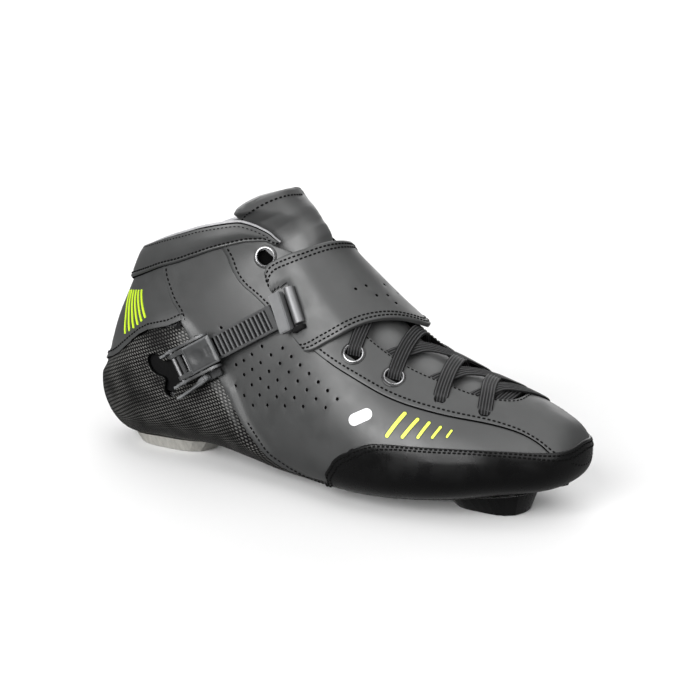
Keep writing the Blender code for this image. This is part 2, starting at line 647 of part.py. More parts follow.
def make_buckle(dark, metal, plastic):
    make_buckle_base(dark)
    make_rivet(metal)
    cross_bar("lever_pin", *LEVER_PIN, 1.1, CHEEK_OUT, metal)
    make_lever(dark)
    make_pawl(metal)
    block("pawl_spring", (-7.0, -1.9), (-7.7, 7.7), (SEAT + 4.3, SEAT + 4.6), metal)
    make_release(dark)
    make_release_pin(metal)
    make_ladder(plastic)
    block("end_block", BLOCK_X, (-10.5, 10.5), BLOCK_Z, dark, 0.6, END_TWIST)
    cross_bar("strap_pin", *STRAP_PIN, 2.2, 10.8, metal, END_TWIST)


def make_anchor_screw(mat):
    add("strap_anchor_screw", placed(ring_mesh(0, 5.0, 0.0, 2.0, 18), STRAP_ANCHOR, STRAP[1] + 0.35), mat)


def build():
    for old in list(bpy.data.objects):
        bpy.data.objects.remove(old)
    leather = material("black_leather", (0.045, 0.046, 0.048), 0.6)
    gloss = material("rand_leather", (0.02, 0.02, 0.021), 0.4)
    carbon = material("carbon_weave", (0.05, 0.05, 0.052), 0.35)
    block_mat = material("mount_block", (0.32, 0.31, 0.28), 0.5)
    knit = material("lining_fabric", (0.12, 0.12, 0.125), 0.9)
    dark = material("dark_plastic", (0.07, 0.07, 0.072), 0.35)
    webbing = material("lace_cord", (0.02, 0.02, 0.02), 0.85)
    metal = material("satin_steel", (0.55, 0.55, 0.55), 0.3, 1.0)
    silver = material("silver_piping", (0.35, 0.35, 0.36), 0.45)

    make_shell(carbon)
    make_lining(knit)
    make_footbed(knit)
    make_heel_panel(leather)
    make_quarter("lateral_quarter", "lateral", leather)
    make_quarter("medial_quarter", "medial", leather)
    make_eyestay(leather)
    make_collar(leather)
    make_piping(silver)
    make_rand(gloss)
    make_tongue(leather)
    make_laces(webbing)
    make_eyelets(metal)
    make_strap(leather)
    make_anchor_screw(metal)
    panel("recess_plate", ruled(RECESS_REAR, RECESS_FRONT, 6, 3), (SHELL[1] + 0.35, SHELL[1] + 0.75), dark)

    underside = shell_tree()
    heel = make_mount_block("heel_mount_block", (-26, 28), 17, -2.0, underside, block_mat)
    front = make_mount_block("front_mount_block", (MOUNT_SPACING - 24, MOUNT_SPACING + 21), 18, 0.0, underside,
                             carbon)
    make_insert("heel_insert", 0.0, heel, metal)
    make_insert("front_insert", MOUNT_SPACING, front, metal)
    make_buckle(dark, metal, dark)


build()
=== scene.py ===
"""Looks of a low speed-skate boot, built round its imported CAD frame.

Sizes are in millimetres and are scaled to metres when a mesh is made. +X is towards the toe,
+Y is the inner (medial) side and +Z is up. The boot's skin is addressed by (place, angle):
place runs from the toe tip (0) to the collar (17), angle goes round it in degrees, with
0 under the sole, 90 on the outer (lateral) side, 180 on top and -90 on the inner side.
"""
import json
import math

import bmesh
import bpy
import numpy as np
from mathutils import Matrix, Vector

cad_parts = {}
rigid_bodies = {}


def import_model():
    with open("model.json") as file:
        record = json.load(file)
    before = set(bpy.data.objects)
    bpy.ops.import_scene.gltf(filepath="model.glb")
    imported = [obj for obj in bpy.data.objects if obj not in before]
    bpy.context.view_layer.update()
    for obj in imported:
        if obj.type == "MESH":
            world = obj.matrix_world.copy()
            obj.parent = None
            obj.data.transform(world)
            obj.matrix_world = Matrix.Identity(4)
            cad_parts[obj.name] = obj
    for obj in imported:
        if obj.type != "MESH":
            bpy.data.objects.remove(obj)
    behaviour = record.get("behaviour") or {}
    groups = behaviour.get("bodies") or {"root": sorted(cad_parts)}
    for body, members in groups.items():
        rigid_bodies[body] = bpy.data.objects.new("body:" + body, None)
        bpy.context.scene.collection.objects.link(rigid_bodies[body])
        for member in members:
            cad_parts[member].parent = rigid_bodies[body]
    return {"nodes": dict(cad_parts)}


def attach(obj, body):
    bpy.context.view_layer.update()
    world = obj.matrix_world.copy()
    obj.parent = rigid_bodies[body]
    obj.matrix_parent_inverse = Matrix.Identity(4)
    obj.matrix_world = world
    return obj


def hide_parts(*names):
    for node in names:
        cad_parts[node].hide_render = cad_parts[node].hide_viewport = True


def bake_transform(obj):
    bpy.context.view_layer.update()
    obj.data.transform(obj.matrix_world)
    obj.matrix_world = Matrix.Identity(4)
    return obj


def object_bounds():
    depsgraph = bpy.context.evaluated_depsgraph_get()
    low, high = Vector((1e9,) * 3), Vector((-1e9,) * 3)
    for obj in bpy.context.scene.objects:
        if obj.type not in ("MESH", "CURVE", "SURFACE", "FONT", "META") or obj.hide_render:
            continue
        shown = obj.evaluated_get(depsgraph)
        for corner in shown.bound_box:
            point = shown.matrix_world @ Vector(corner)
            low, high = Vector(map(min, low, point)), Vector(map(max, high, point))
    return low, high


for old in list(bpy.data.objects):
    bpy.data.objects.remove(old)
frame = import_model()
CAD_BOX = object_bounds()

MM = 0.001
SIDES = (("lateral", 1), ("medial", -1))

# The skin of the last: one row per station from the toe tip to the top of the collar.
# back/bottom point x, z; front/top point x, z; lateral and medial half widths; centre y;
# height share of the widest point; boxiness below and above it
STATIONS = np.array([
    (238, 31, 238, 31, 0, 0, 10, .48, 2.2, 2.0),
    (235, 21, 232, 42.5, 17, 14, 10, .46, 2.4, 2.0),
    (226, 15.5, 219, 50, 29, 24, 9, .43, 2.8, 1.9),
    (207, 13, 201, 57.5, 40, 32, 7, .40, 3.4, 1.8),
    (182, 9, 177, 65, 47, 38, 5, .38, 4.0, 1.8),
    (154, 6, 152, 76, 50, 42, 3, .36, 4.2, 1.8),
    (125, 4, 129, 92, 48, 42, 2, .35, 4.0, 1.9),
    (95, 5, 113, 106, 43, 38, 1, .35, 3.6, 2.0),
    (65, 8, 103, 116, 38, 35, 0, .36, 3.3, 2.0),
    (35, 10, 98, 123, 35, 34, 0, .40, 3.0, 2.1),
    (3, 8, 95, 128, 34, 34, 0, .44, 2.8, 2.2),
    (-28, 8, 92, 132, 34, 33, 0, .48, 2.5, 2.2),
    (-42, 23, 89, 136, 34, 33, 0, .50, 2.4, 2.2),
    (-41.5, 45, 87, 140, 34, 33, 0, .52, 2.3, 2.2),
    (-34, 68, 85, 144, 34, 33, 0, .54, 2.3, 2.2),
    (-21.8, 92, 83, 148, 34, 33, 0, .55, 2.3, 2.2),
    (-11, 112.5, 81, 152, 35, 34, 0, .55, 2.3, 2.2),
    (-2.5, 128.5, 79, 158, 36, 35, 0, .55, 2.3, 2.2),
], float)


# ---- the skin ----

def with_ends(rows):
    """Adds the row before the toe tip (the first row turned over) and one past the collar."""
    before = rows[1].copy()
    before[0:2], before[2:4] = rows[1][2:4], rows[1][0:2]
    before[4:6] = -rows[1][4:6]
    return np.vstack([before, rows, 2 * rows[-1] - rows[-2]])


KNOTS = with_ends(STATIONS)


def catmull(a, b, c, d, u):
    return 0.5 * (2 * b + (c - a) * u + (2 * a - 5 * b + 4 * c - d) * u**2
                  + (3 * b - a - 3 * c + d) * u**3)


def skin(polar):
    """Points of the skin at (place, angle) pairs."""
    place, angle = polar[..., 0], np.radians(polar[..., 1])
    i = np.clip(np.floor(place).astype(int), 0, len(KNOTS) - 4)
    row = catmull(KNOTS[i], KNOTS[i + 1], KNOTS[i + 2], KNOTS[i + 3], (place - i)[..., None])
    bx, bz, tx, tz, wl, wm, yc, widest, below, above = np.moveaxis(row, -1, 0)
    cos, sin = np.cos(angle), np.sin(angle)
    power = np.where(cos > 0, below, above)
    side = np.abs(sin) ** (2 / power)
    rise = np.abs(cos) ** (2 / power)
    share = np.where(cos > 0, widest * (1 - rise), widest + (1 - widest) * rise)
    y = yc + np.where(sin >= 0, -np.abs(wl), np.abs(wm)) * side
    return np.stack([bx + (tx - bx) * share, y, bz + (tz - bz) * share], -1)


def to_disc(polar):
    """(place, angle) to flat coordinates with the toe tip at their centre."""
    polar = np.asarray(polar, float)
    angle = np.radians(polar[..., 1])
    return np.stack([polar[..., 0] * np.sin(angle), -polar[..., 0] * np.cos(angle)], -1)


def to_polar(disc):
    place = np.hypot(disc[..., 0], disc[..., 1])
    return np.stack([place, np.degrees(np.arctan2(disc[..., 0], -disc[..., 1]))], -1)


def normal(polar):
    """Outward unit normals of the skin, from points a little to each side."""
    polar = np.asarray(polar, float)
    disc = to_disc(polar)
    step = (0.1 + 0.03 * polar[..., 0])[..., None]
    sides = []
    for direction in ((1.0, 0.0), (0.0, 1.0)):
        sides.append(skin(to_polar(disc + step * direction)) - skin(to_polar(disc - step * direction)))
    return unit(np.cross(sides[1], sides[0]))


def unit(v):
    return v / np.maximum(np.linalg.norm(v, axis=-1, keepdims=True), 1e-9)


def on_skin(polar, off=0.0):
    """Points at the distance off from the skin."""
    polar = np.asarray(polar, float)
    return skin(polar) + normal(polar) * np.asarray(off, float)[..., None]


def fade(x, start, end):
    """0 before start, 1 after end, smooth between."""
    u = np.clip((x - start) / (end - start), 0, 1)
    return u * u * (3 - 2 * u)


def run_length(points):
    steps = np.linalg.norm(np.diff(points, axis=0), axis=1)
    return np.concatenate([[0], np.cumsum(steps)])


def resample(points, at):
    """Points of a polyline at the given distances along it."""
    length = run_length(points)
    return np.stack([np.interp(at, length, points[:, k]) for k in range(points.shape[1])], -1)


def smooth(points, per_span=24):
    """A fine Catmull-Rom curve through the points."""
    p = np.asarray(points, float)
    ghost = np.vstack([2 * p[0] - p[1], p, 2 * p[-1] - p[-2]])
    u = np.linspace(0, len(p) - 1, per_span * (len(p) - 1) + 1)
    i = np.minimum(u.astype(int), len(p) - 2)
    return catmull(ghost[i], ghost[i + 1], ghost[i + 2], ghost[i + 3], (u - i)[:, None])


def on_side(points, sign):
    """(place, angle) points on the lateral side (1) or, mirrored, on the medial side (-1)."""
    return [(place, sign * angle) for place, angle in points]


def mirrored(points):
    return on_side(points, -1)


def both_sides(points):
    """A lateral edge that runs on, mirrored, along the medial side."""
    return points + mirrored(points[-2::-1])


# ---- meshes ----

class Shape:
    """The points, faces and finishes of one piece, in millimetres."""

    def __init__(self):
        self.points, self.faces, self.finish, self.uv, self.edge = [], [], [], [], []

    def add(self, points, faces, finish=0, uv=None, edge=None):
        points = np.asarray(points, float).reshape(-1, 3)
        first = len(self.points)
        self.points.extend(points.tolist())
        self.faces.extend([tuple(first + k for k in face) for face in faces])
        self.finish.extend([finish] * len(faces) if np.isscalar(finish) else list(finish))
        uv = np.zeros((len(points), 2)) if uv is None else np.reshape(uv, (-1, 2))
        self.uv.extend(uv.tolist())
        self.edge.extend([0.0] * len(points) if edge is None else np.ravel(edge).tolist())
        return self


def add_object(name, data):
    obj = bpy.data.objects.new(name, data)
    bpy.context.scene.collection.objects.link(obj)
    return obj


def piece(name, shape, mats, body, replaces=(), sharp=50):
    """Makes a shape a named object that rides on a body."""
    used = np.unique([k for face in shape.faces for k in face])
    new = np.full(len(shape.points), -1)
    new[used] = np.arange(len(used))
    points = np.asarray(shape.points)[used] * MM
    faces = [[int(new[k]) for k in face] for face in shape.faces]
    data = bpy.data.meshes.new(name)
    data.from_pydata(points.tolist(), [], faces)
    for mat in mats:
        data.materials.append(mat)
    data.polygons.foreach_set("material_index", np.asarray(shape.finish, np.int32))
    uv = np.asarray(shape.uv, np.float32)[used]
    layer = data.uv_layers.new(name="UVMap")
    corners = np.zeros(len(data.loops), np.int32)
    data.loops.foreach_get("vertex_index", corners)
    layer.data.foreach_set("uv", uv[corners].ravel())
    data.attributes.new("edge", "FLOAT", "POINT").data.foreach_set(
        "value", np.asarray(shape.edge, np.float32)[used])
    mesh = bmesh.new()
    mesh.from_mesh(data)
    bmesh.ops.recalc_face_normals(mesh, faces=mesh.faces)
    mesh.to_mesh(data)
    mesh.free()
    data.shade_smooth()
    data.set_sharp_from_angle(angle=math.radians(sharp))
    obj = add_object(name, data)
    if body:
        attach(obj, body)
    if replaces:
        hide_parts(*replaces)
    return obj


BORDER = np.array([0, 0.1, 0.3, 0.65, 1.1])


def spread(length, cell):
    """Distances from 0 to length, close together at both ends."""
    near = BORDER * min(1.0, 0.3 * length / BORDER[-1])
    count = max(2, int(round((length - 2 * near[-1]) / cell)))
    return np.concatenate([near[:-1], np.linspace(near[-1], length - near[-1], count + 1),
                           length - near[:-1][::-1]])


class Patch:
    """A part of the skin between two edge curves, as a grid of (place, angle).

    grow moves the low and the high edge outwards by that much. start and end are curves from the
    low to the high edge that the two ends follow, their shape dying out over reach.
    """

    def __init__(self, low, high, chart="polar", cell=2.5, grow=(0, 0), start=None, end=None, reach=30):
        flat = to_disc if chart == "disc" else (lambda q: np.asarray(q, float))
        back = to_polar if chart == "disc" else (lambda q: q)
        curves = [smooth(flat(points)) for points in (low, high)]
        lengths = [run_length(skin(back(c))) for c in curves]
        mean = (lengths[0][-1] + lengths[1][-1]) / 2
        at = spread(mean, cell)
        ends = []
        for c, length in zip(curves, lengths):
            want = at / mean * length[-1]
            ends.append(np.stack([np.interp(want, length, c[:, k]) for k in (0, 1)], -1))
        width = np.linalg.norm(skin(back(ends[0])) - skin(back(ends[1])), axis=1)
        full = width.max() + sum(grow)
        rows = spread(full, cell)
        near = BORDER[-1]
        shares = []
        for w in width:
            total = w + sum(grow)
            tight = min(near, 0.25 * total)
            place = np.interp(rows, [0, near, full - near, full], [0, tight, total - tight, total])
            shares.append((place - grow[0]) / w)
        shares = np.array(shares)[..., None]
        grid = ends[0][:, None] * (1 - shares) + ends[1][:, None] * shares
        for curve, row, away in ((start, 0, at), (end, -1, mean - at)):
            if curve is not None:
                line = smooth(flat(np.asarray(curve, float)))
                length = run_length(skin(back(line)))
                want = np.clip(shares[row, :, 0], 0, 1) * length[-1]
                bend = np.stack([np.interp(want, length, line[:, k]) for k in (0, 1)], -1) - grid[row]
                grid += np.clip(1 - away / reach, 0, 1)[:, None, None] ** 2 * bend[None]
        u, v = self.lay(back(grid))
        self.uv = np.stack([u - u[len(u) // 2], v], -1)

    def lay(self, polar):
        """Sets the grid, and returns the run lengths along and across it, in mm."""
        self.polar = polar
        self.skin, self.normal = skin(polar), normal(polar)
        rows, columns = self.shape = polar.shape[:2]
        self.keep = np.ones((rows - 1, columns - 1), bool)
        self.holes = []
        steps = [np.cumsum(np.linalg.norm(np.diff(self.skin, axis=k), axis=2), axis=k) for k in (0, 1)]
        return (np.concatenate([np.zeros((1, columns)), steps[0]]),
                np.concatenate([np.zeros((rows, 1)), steps[1]], axis=1))

    def border(self):
        """Distance of each grid point from the nearest border, in mm."""
        pad = np.pad(self.keep, 1)
        inside = pad[:-1, :-1] & pad[1:, :-1] & pad[:-1, 1:] & pad[1:, 1:]
        touch = pad[:-1, :-1] | pad[1:, :-1] | pad[:-1, 1:] | pad[1:, 1:]
        rim = self.skin[touch & ~inside]
        flat = self.skin.reshape(-1, 3)
        gap = np.full(len(flat), np.inf)
        for chunk in np.array_split(rim, max(1, len(rim) // 200)):
            gap = np.minimum(gap, np.linalg.norm(flat[:, None] - chunk[None], axis=2).min(1))
        return gap.reshape(self.shape)

    def line(self, side, inset, height=0.0, span=(0.0, 1.0)):
        """Points, normals along an edge ('low', 'high', 'start' or 'end'), inset by that much."""
        polar = self.polar if side in ("low", "high") else self.polar.swapaxes(0, 1)
        if side in ("high", "end"):
            polar = polar[:, ::-1]
        out = []
        first, last = int(span[0] * (len(polar) - 1)), int(span[1] * (len(polar) - 1))
        for row in polar[first:last + 1]:
            length = run_length(skin(row))
            at = min(inset, 0.45 * length[-1])
            out.append([np.interp(at, length, to_disc(row)[:, k]) for k in (0, 1)])
        place = to_polar(np.array(out))
        return on_skin(place, height), normal(place)

    def punch(self, centre, radius, depth, reach=1):
        """Marks a round hole in the outer face, near a point of the skin."""
        gap = np.linalg.norm(self.skin - np.asarray(centre, float), axis=2)
        i, j = np.unravel_index(gap.argmin(), gap.shape)
        if not (reach <= i < self.shape[0] - reach and reach <= j < self.shape[1] - reach):
            return
        for block in self.holes:
            if abs(block[0] - i) < block[2] + reach and abs(block[1] - j) < block[2] + reach:
                return
        self.holes.append((i, j, reach, np.asarray(centre, float), radius, depth))

    def solid(self, outer, inner, rounding=0.7, finish=0, paint_and_shade_slot=1, wear=1.6, painted=0.0):
        """A closed sheet between two heights, its outer edges rounded and painted black that far in: edge
        paint that also stands in as painted shadow along the edge.
        """
        rows, columns = self.shape
        gap = self.border()
        inward = np.clip(1 - gap / rounding, 0, 1)
        top = np.broadcast_to(outer, self.shape) - rounding * (1 - np.sqrt(1 - inward**2))
        outside = self.skin + self.normal * top[..., None]
        inside = self.skin + self.normal * np.broadcast_to(inner, self.shape)[..., None]
        edge = np.exp(-gap / wear)
        count = rows * columns
        index = np.arange(count).reshape(rows, columns)
        opened = np.zeros_like(self.keep)
        for i, j, reach, *_ in self.holes:
            opened[i - reach:i + reach, j - reach:j + reach] = True
        faces, finishes = [], []
        for i, j in zip(*np.nonzero(self.keep)):
            a, b, c, d = index[i, j], index[i + 1, j], index[i + 1, j + 1], index[i, j + 1]
            if not opened[i, j]:
                faces.append((a, b, c, d))
                finishes.append(paint_and_shade_slot if gap[i:i + 2, j:j + 2].mean() < painted else finish)
            faces.append((count + d, count + c, count + b, count + a))
            finishes.append(finish)
        pad = np.pad(self.keep, 1)
        for i, j in zip(*np.nonzero(self.keep)):
            a, b, c, d = index[i, j], index[i + 1, j], index[i + 1, j + 1], index[i, j + 1]
            for beside, start, end in (((i, j + 1), d, a), ((i + 2, j + 1), b, c),
                                       ((i + 1, j + 2), c, d), ((i + 1, j), a, b)):
                if not pad[beside]:
                    faces.append((start, end, count + end, count + start))
                    finishes.append(paint_and_shade_slot if painted else finish)
        shape = Shape()
        shape.add(np.concatenate([outside.reshape(-1, 3), inside.reshape(-1, 3)]), faces, finishes,
                  np.concatenate([self.uv.reshape(-1, 2)] * 2), np.concatenate([edge.ravel()] * 2))
        for i, j, reach, centre, radius, depth in self.holes:
            self.hole(shape, index, outside, top, i, j, reach, centre, radius, depth, finish, paint_and_shade_slot)
        return shape

    def hole(self, shape, index, outside, top, i, j, reach, centre, radius, depth, finish, paint_and_shade_slot):
        """Fills an opened block of cells with a round, rounded-edge hole down to depth; its lower wall and
        floor are black, a painted shade inside the hole.
        """
        ring = ([(i - reach + k, j - reach) for k in range(2 * reach)]
                + [(i + reach, j - reach + k) for k in range(2 * reach)]
                + [(i + reach - k, j + reach) for k in range(2 * reach)]
                + [(i - reach, j + reach - k) for k in range(2 * reach)])
        n = self.normal[i, j]
        here = outside[i, j]
        aim = centre + n * top[i, j]
        centre = aim - n * np.dot(aim - here, n)
        around = np.array([outside[p] for p in ring])
        spoke = around - centre
        spoke = unit(spoke - (spoke @ n)[:, None] * n)
        levels = [centre + spoke * (radius + 0.35), centre + spoke * (radius + 0.1) - n * 0.06,
                  centre + spoke * radius - n * 0.3, centre + spoke * radius * 0.96 - n * depth]
        first = len(shape.points)
        size = len(ring)
        shape.add(np.concatenate(levels), [], 0, np.tile(self.uv[i, j], (4 * size, 1)))
        outer_ring = [int(index[p]) for p in ring]
        loops = [outer_ring] + [[first + k * size + m for m in range(size)] for k in range(4)]
        for k, (a, b) in enumerate(zip(loops, loops[1:])):
            for m in range(size):
                shape.faces.append((a[m - 1], a[m], b[m], b[m - 1]))
                shape.finish.append(finish if k < 2 else paint_and_shade_slot)
        shape.faces.append(tuple(loops[-1]))
        shape.finish.append(paint_and_shade_slot)


def tube(shape, path, radius, sides=10, finish=0, edge=None):
    """Adds a round bar along a path of points; radius may change along it."""
    path = np.asarray(path, float)
    radius = np.broadcast_to(np.asarray(radius, float), (len(path),))
    tangent = unit(np.gradient(path, axis=0))
    side = np.array(Vector(tangent[0]).orthogonal().normalized())
    turn = np.arange(sides) * 2 * math.pi / sides
    rings = []
    for centre, ahead, r in zip(path, tangent, radius):
        side = unit(side - ahead * side.dot(ahead))
        other = np.cross(ahead, side)
        rings.append(centre + r * (np.cos(turn)[:, None] * side + np.sin(turn)[:, None] * other))
    length = run_length(path)
    uv = np.stack([np.repeat(length, sides), np.tile(turn * radius.max(), len(path))], -1)
    return shape.add(np.concatenate(rings), tube_faces(len(path), sides), finish, uv, edge)


def ring_faces(rings, sides, closed=False):
    """Quads between neighbouring rings of points, and from the last to the first if closed."""
    return [(k * sides + m, k * sides + (m + 1) % sides, n * sides + (m + 1) % sides, n * sides + m)
            for k in range(rings - 1 + closed) for n in [(k + 1) % rings] for m in range(sides)]


def tube_faces(rings, sides):
    """The same with a face over each end."""
    ends = [tuple(range(sides))[::-1], tuple(range((rings - 1) * sides, rings * sides))]
    return ring_faces(rings, sides) + ends


def lathe(shape, profile, place, axis, sides=32, finish=None):
    """Turns a closed (radius, height) profile about an axis; finish gives one value a segment."""
    axis = unit(np.asarray(axis, float))
    side = np.array(Vector(axis).orthogonal().normalized())
    other = np.cross(axis, side)
    points = [np.asarray(place) + r * (math.cos(a) * side + math.sin(a) * other) + h * axis
              for a in (2 * math.pi * k / sides for k in range(sides)) for r, h in profile]
    faces = ring_faces(sides, len(profile), closed=True)
    return shape.add(points, faces, list(finish) * sides if finish else 0)


THREAD_RINGS = ((-0.5, 0.25), (-0.42, 0.75), (-0.2, 1.0), (0.2, 1.0), (0.42, 0.75), (0.5, 0.25))


def stitches(shape, points, normals, pitch=2.45, length=1.65, radius=0.48, sink=0.1, finish=0):
    """Adds a row of short threads along a line on a surface."""
    total = run_length(points)[-1]
    count = max(1, int(total / pitch))
    at = (np.arange(count) + 0.5) * total / count
    centre = resample(points, at)
    up = unit(resample(np.hstack([points, normals]), at)[:, 3:])
    ahead = unit(resample(points, np.minimum(at + 0.4, total)) - resample(points, np.maximum(at - 0.4, 0)))
    side = np.cross(up, ahead)
    turn = np.arange(6) * math.pi / 3
    for c, a, s, u in zip(centre, ahead, side, up):
        rings = [c + a * f * length + u * sink
                 + radius * r * (np.cos(turn)[:, None] * s + 0.8 * np.sin(turn)[:, None] * u)
                 for f, r in THREAD_RINGS]
        shape.add(np.concatenate(rings), tube_faces(len(THREAD_RINGS), 6), finish)
    return shape


def ribbon(shape, path, ups, width, thick, ribs=5, finish=0):
    """Adds a flat braided lace along a path; its face looks along ups."""
    path, ups = np.asarray(path, float), np.asarray(ups, float)
    ahead = unit(np.gradient(path, axis=0))
    side = unit(np.cross(ups, ahead))
    up = np.cross(ahead, side)
    across = np.linspace(-1, 1, 6 * ribs + 1)
    groove = 0.34 - 0.17 * (1 - np.cos(math.pi * ribs * (across + 1))) * (abs(across) < 0.99)
    round_off = np.sqrt(np.clip(1 - np.abs(across) ** 6, 0, 1))
    upper = np.stack([across * width / 2, thick / 2 * (0.25 + 0.75 * round_off) - groove], -1)
    loop = np.concatenate([upper, upper[::-1] * (1, -1)])
    sides = len(loop)
    points = [c + loop[:, :1] * s + loop[:, 1:] * u for c, s, u in zip(path, side, up)]
    length = run_length(path)
    uv = np.stack([np.repeat(length, sides), np.tile(loop[:, 0], len(path))], -1)
    return shape.add(np.concatenate(points), tube_faces(len(path), sides), finish, uv)


# ---- materials ----

class Paint:
    """A procedural material under construction."""

    def __init__(self, name, colour, roughness, **values):
        self.mat = bpy.data.materials.new(name)
        self.mat.use_nodes = True
        self.tree = self.mat.node_tree
        self.shader = self.tree.nodes["Principled BSDF"]
        self.set("Base Color", (*colour, 1))
        self.set("Roughness", roughness)
        for key, value in values.items():
            self.set(key.replace("_", " "), value)
        self.mat.diffuse_color = (*colour, 1)
        self.height = None

    def feed(self, socket, value):
        """Links a node's output to a socket, or sets the socket's own value."""
        if isinstance(value, bpy.types.NodeSocket):
            self.tree.links.new(value, socket)
        else:
            socket.default_value = value

    def set(self, socket, value):
        self.feed(self.shader.inputs[socket], value)

    def node(self, kind, inputs=(), **props):
        made = self.tree.nodes.new("ShaderNode" + kind)
        for key, value in props.items():
            setattr(made, key, value)
        for key, value in dict(inputs).items():
            self.feed(made.inputs[key], value)
        return made

    def place(self):
        return self.node("TexCoord").outputs["Object"]

    def uv(self):
        return self.node("UVMap", uv_map="UVMap").outputs[0]

    def split(self, vector):
        made = self.node("SeparateXYZ", {0: vector})
        return made.outputs[0], made.outputs[1]

    def math(self, operation, a, b=0.0, c=0.0):
        return self.node("Math", {0: a, 1: b, 2: c}, operation=operation).outputs[0]

    def noise(self, scale, detail=3.0, rough=0.55, vector=None):
        inputs = {"Scale": scale, "Detail": detail, "Roughness": rough, "Vector": vector or self.place()}
        return self.node("TexNoise", inputs).outputs[0]

    def streaks(self, scale, detail):
        """Noise drawn out into lines along the axis of the smallest scale."""
        stretch = self.node("Mapping", {"Vector": self.place(), "Scale": scale}).outputs[0]
        return self.noise(1.0, detail, 0.6, stretch)

    def cells(self, scale, feature="F1", vector=None, jitter=1.0):
        inputs = {"Scale": scale, "Vector": vector or self.place(), "Randomness": jitter}
        return self.node("TexVoronoi", inputs, feature=feature).outputs["Distance"]

    def ramp(self, value, low, high, start=0.0, end=1.0):
        """value from low..high mapped to start..end, clamped."""
        inputs = {0: value, 1: low, 2: high, 3: start, 4: end}
        return self.node("MapRange", inputs, clamp=True).outputs[0]

    def times(self, a, b):
        return self.math("MULTIPLY", a, b)

    def blend(self, share, one, two):
        """A colour between two colours or nodes."""
        made = self.node("Mix", {0: share}, data_type="RGBA")
        for key, value in ((6, one), (7, two)):
            self.feed(made.inputs[key], (*value, 1) if isinstance(value, tuple) else value)
        return made.outputs[2]

    def vary(self, value, colour, dark, light, low=0.3, high=0.7):
        """A colour from dark to light times itself, as value goes from low to high."""
        return self.blend(self.ramp(value, low, high), scaled(colour, dark), scaled(colour, light))

    def rough(self, value, roughness, less, more):
        self.set("Roughness", self.ramp(value, 0.3, 0.7, roughness - less, roughness + more))

    def relief(self, height, depth_mm, strength=1.0):
        """Adds a bump of that depth on top of any earlier one."""
        inputs = {"Height": height, "Distance": depth_mm * MM, "Strength": strength}
        if self.height:
            inputs["Normal"] = self.height
        self.height = self.node("Bump", inputs).outputs[0]
        self.set("Normal", self.height)

    def attribute(self, name):
        return self.node("Attribute", attribute_name=name).outputs["Fac"]


def scaled(colour, factor):
    return tuple(min(1.0, c * factor) for c in colour)


def leather(name, colour, roughness, grain=0.05, worn=1.5, crease=0.0, shine=0.75):
    """Coated microfibre: fine pores, soft mottling, paler along its edges."""
    p = Paint(name, colour, roughness, Specular_IOR_Level=shine, Sheen_Weight=0.06, Sheen_Roughness=0.5)
    colour_now = p.vary(p.noise(38, 4), colour, 0.86, 1.12, 0.35, 0.68)
    rubbed = p.times(p.attribute("edge"), p.ramp(p.noise(260, 2), 0.3, 0.7, 0.25, 1.0))
    p.set("Base Color", p.blend(p.times(rubbed, 0.6), colour_now, scaled(colour, worn)))
    p.rough(p.noise(120, 3), roughness, 0.06, 0.07)
    if crease:
        p.relief(p.noise(55, 2), crease, 0.5)
    p.relief(p.cells(1150, "DISTANCE_TO_EDGE"), grain, 0.55)
    p.relief(p.noise(2600, 2), grain * 0.5, 0.4)
    return p.mat


FLOAT_WIDE, FLOAT_LONG = 1.3, 2.6


def carbon(name):
    """Twill cloth under clear resin: rows of short floats, each row half a float on; each float's crown is
    coloured paler, a painted reflection of the light on the fibres.
    """
    p = Paint(name, (0.02, 0.02, 0.021), 0.3, Coat_Weight=0.18, Coat_Roughness=0.12, Specular_IOR_Level=0.12)
    u, v = p.split(p.uv())
    row = p.math("DIVIDE", v, FLOAT_WIDE)
    odd = p.times(p.math("FLOOR", row), 0.5)
    column = p.math("ADD", p.math("DIVIDE", u, FLOAT_LONG), odd)
    a = p.math("SUBTRACT", p.math("FRACT", column), 0.5)
    b = p.math("SUBTRACT", p.math("FRACT", row), 0.5)
    a2 = p.times(p.times(a, a), 7.0)
    b2 = p.times(p.times(b, b), 7.6)
    crown = p.math("SUBTRACT", 1.0, p.math("ADD", a2, b2))
    fibre = p.ramp(p.noise(1400, 2), 0.3, 0.7, 0.7, 1.15)
    patchy = p.ramp(p.noise(70, 3), 0.35, 0.65, 0.3, 1.2)
    # painted reflection: the floats' crowns coloured paler, in patches, for the light the resin-coated fibres
    # reflect
    painted_glint = p.times(p.times(p.ramp(crown, 0.02, 0.62), fibre), patchy)
    p.set("Base Color", p.blend(painted_glint, (0.0012, 0.0012, 0.0012), (0.13, 0.128, 0.122)))
    p.set("Roughness", p.ramp(crown, 0.0, 0.6, 0.55, 0.28))
    p.relief(p.ramp(crown, -0.6, 1.0), 0.25, 0.6)
    return p.mat


LACE_WIDTH, LACE_THICK, LACE_RIBS = 7.4, 1.5, 5


def braided(name, colour, width=LACE_WIDTH, ribs=LACE_RIBS):
    """Polyester braid in millimetre UVs: ribs along it, small crossing yarns over them; a painted highlight
    on the ribs' tops and painted shade in the grooves between them.
    """
    p = Paint(name, colour, 0.55, Sheen_Weight=0.04, Sheen_Roughness=0.4, Specular_IOR_Level=0.3)
    u, v = p.split(p.uv())
    rib = p.math("COSINE", p.times(p.math("ADD", v, width / 2), 2 * math.pi * ribs / width))
    crest = p.ramp(rib, 0.0, -0.95)
    up = p.math("SINE", p.times(p.math("ADD", u, p.times(v, 1.6)), 6.5))
    down = p.math("SINE", p.times(p.math("SUBTRACT", u, p.times(v, 1.6)), 6.5))
    yarn = p.ramp(p.times(up, down), -0.6, 0.7)
    # painted highlight on the ribs' tops and painted shade in the grooves, broken by the crossing yarns
    light = p.times(crest, p.ramp(yarn, 0.0, 1.0, 0.35, 1.0))
    p.set("Base Color", p.blend(light, scaled(colour, 0.04), scaled(colour, 3.4)))
    p.relief(light, 0.3, 0.8)
    return p.mat


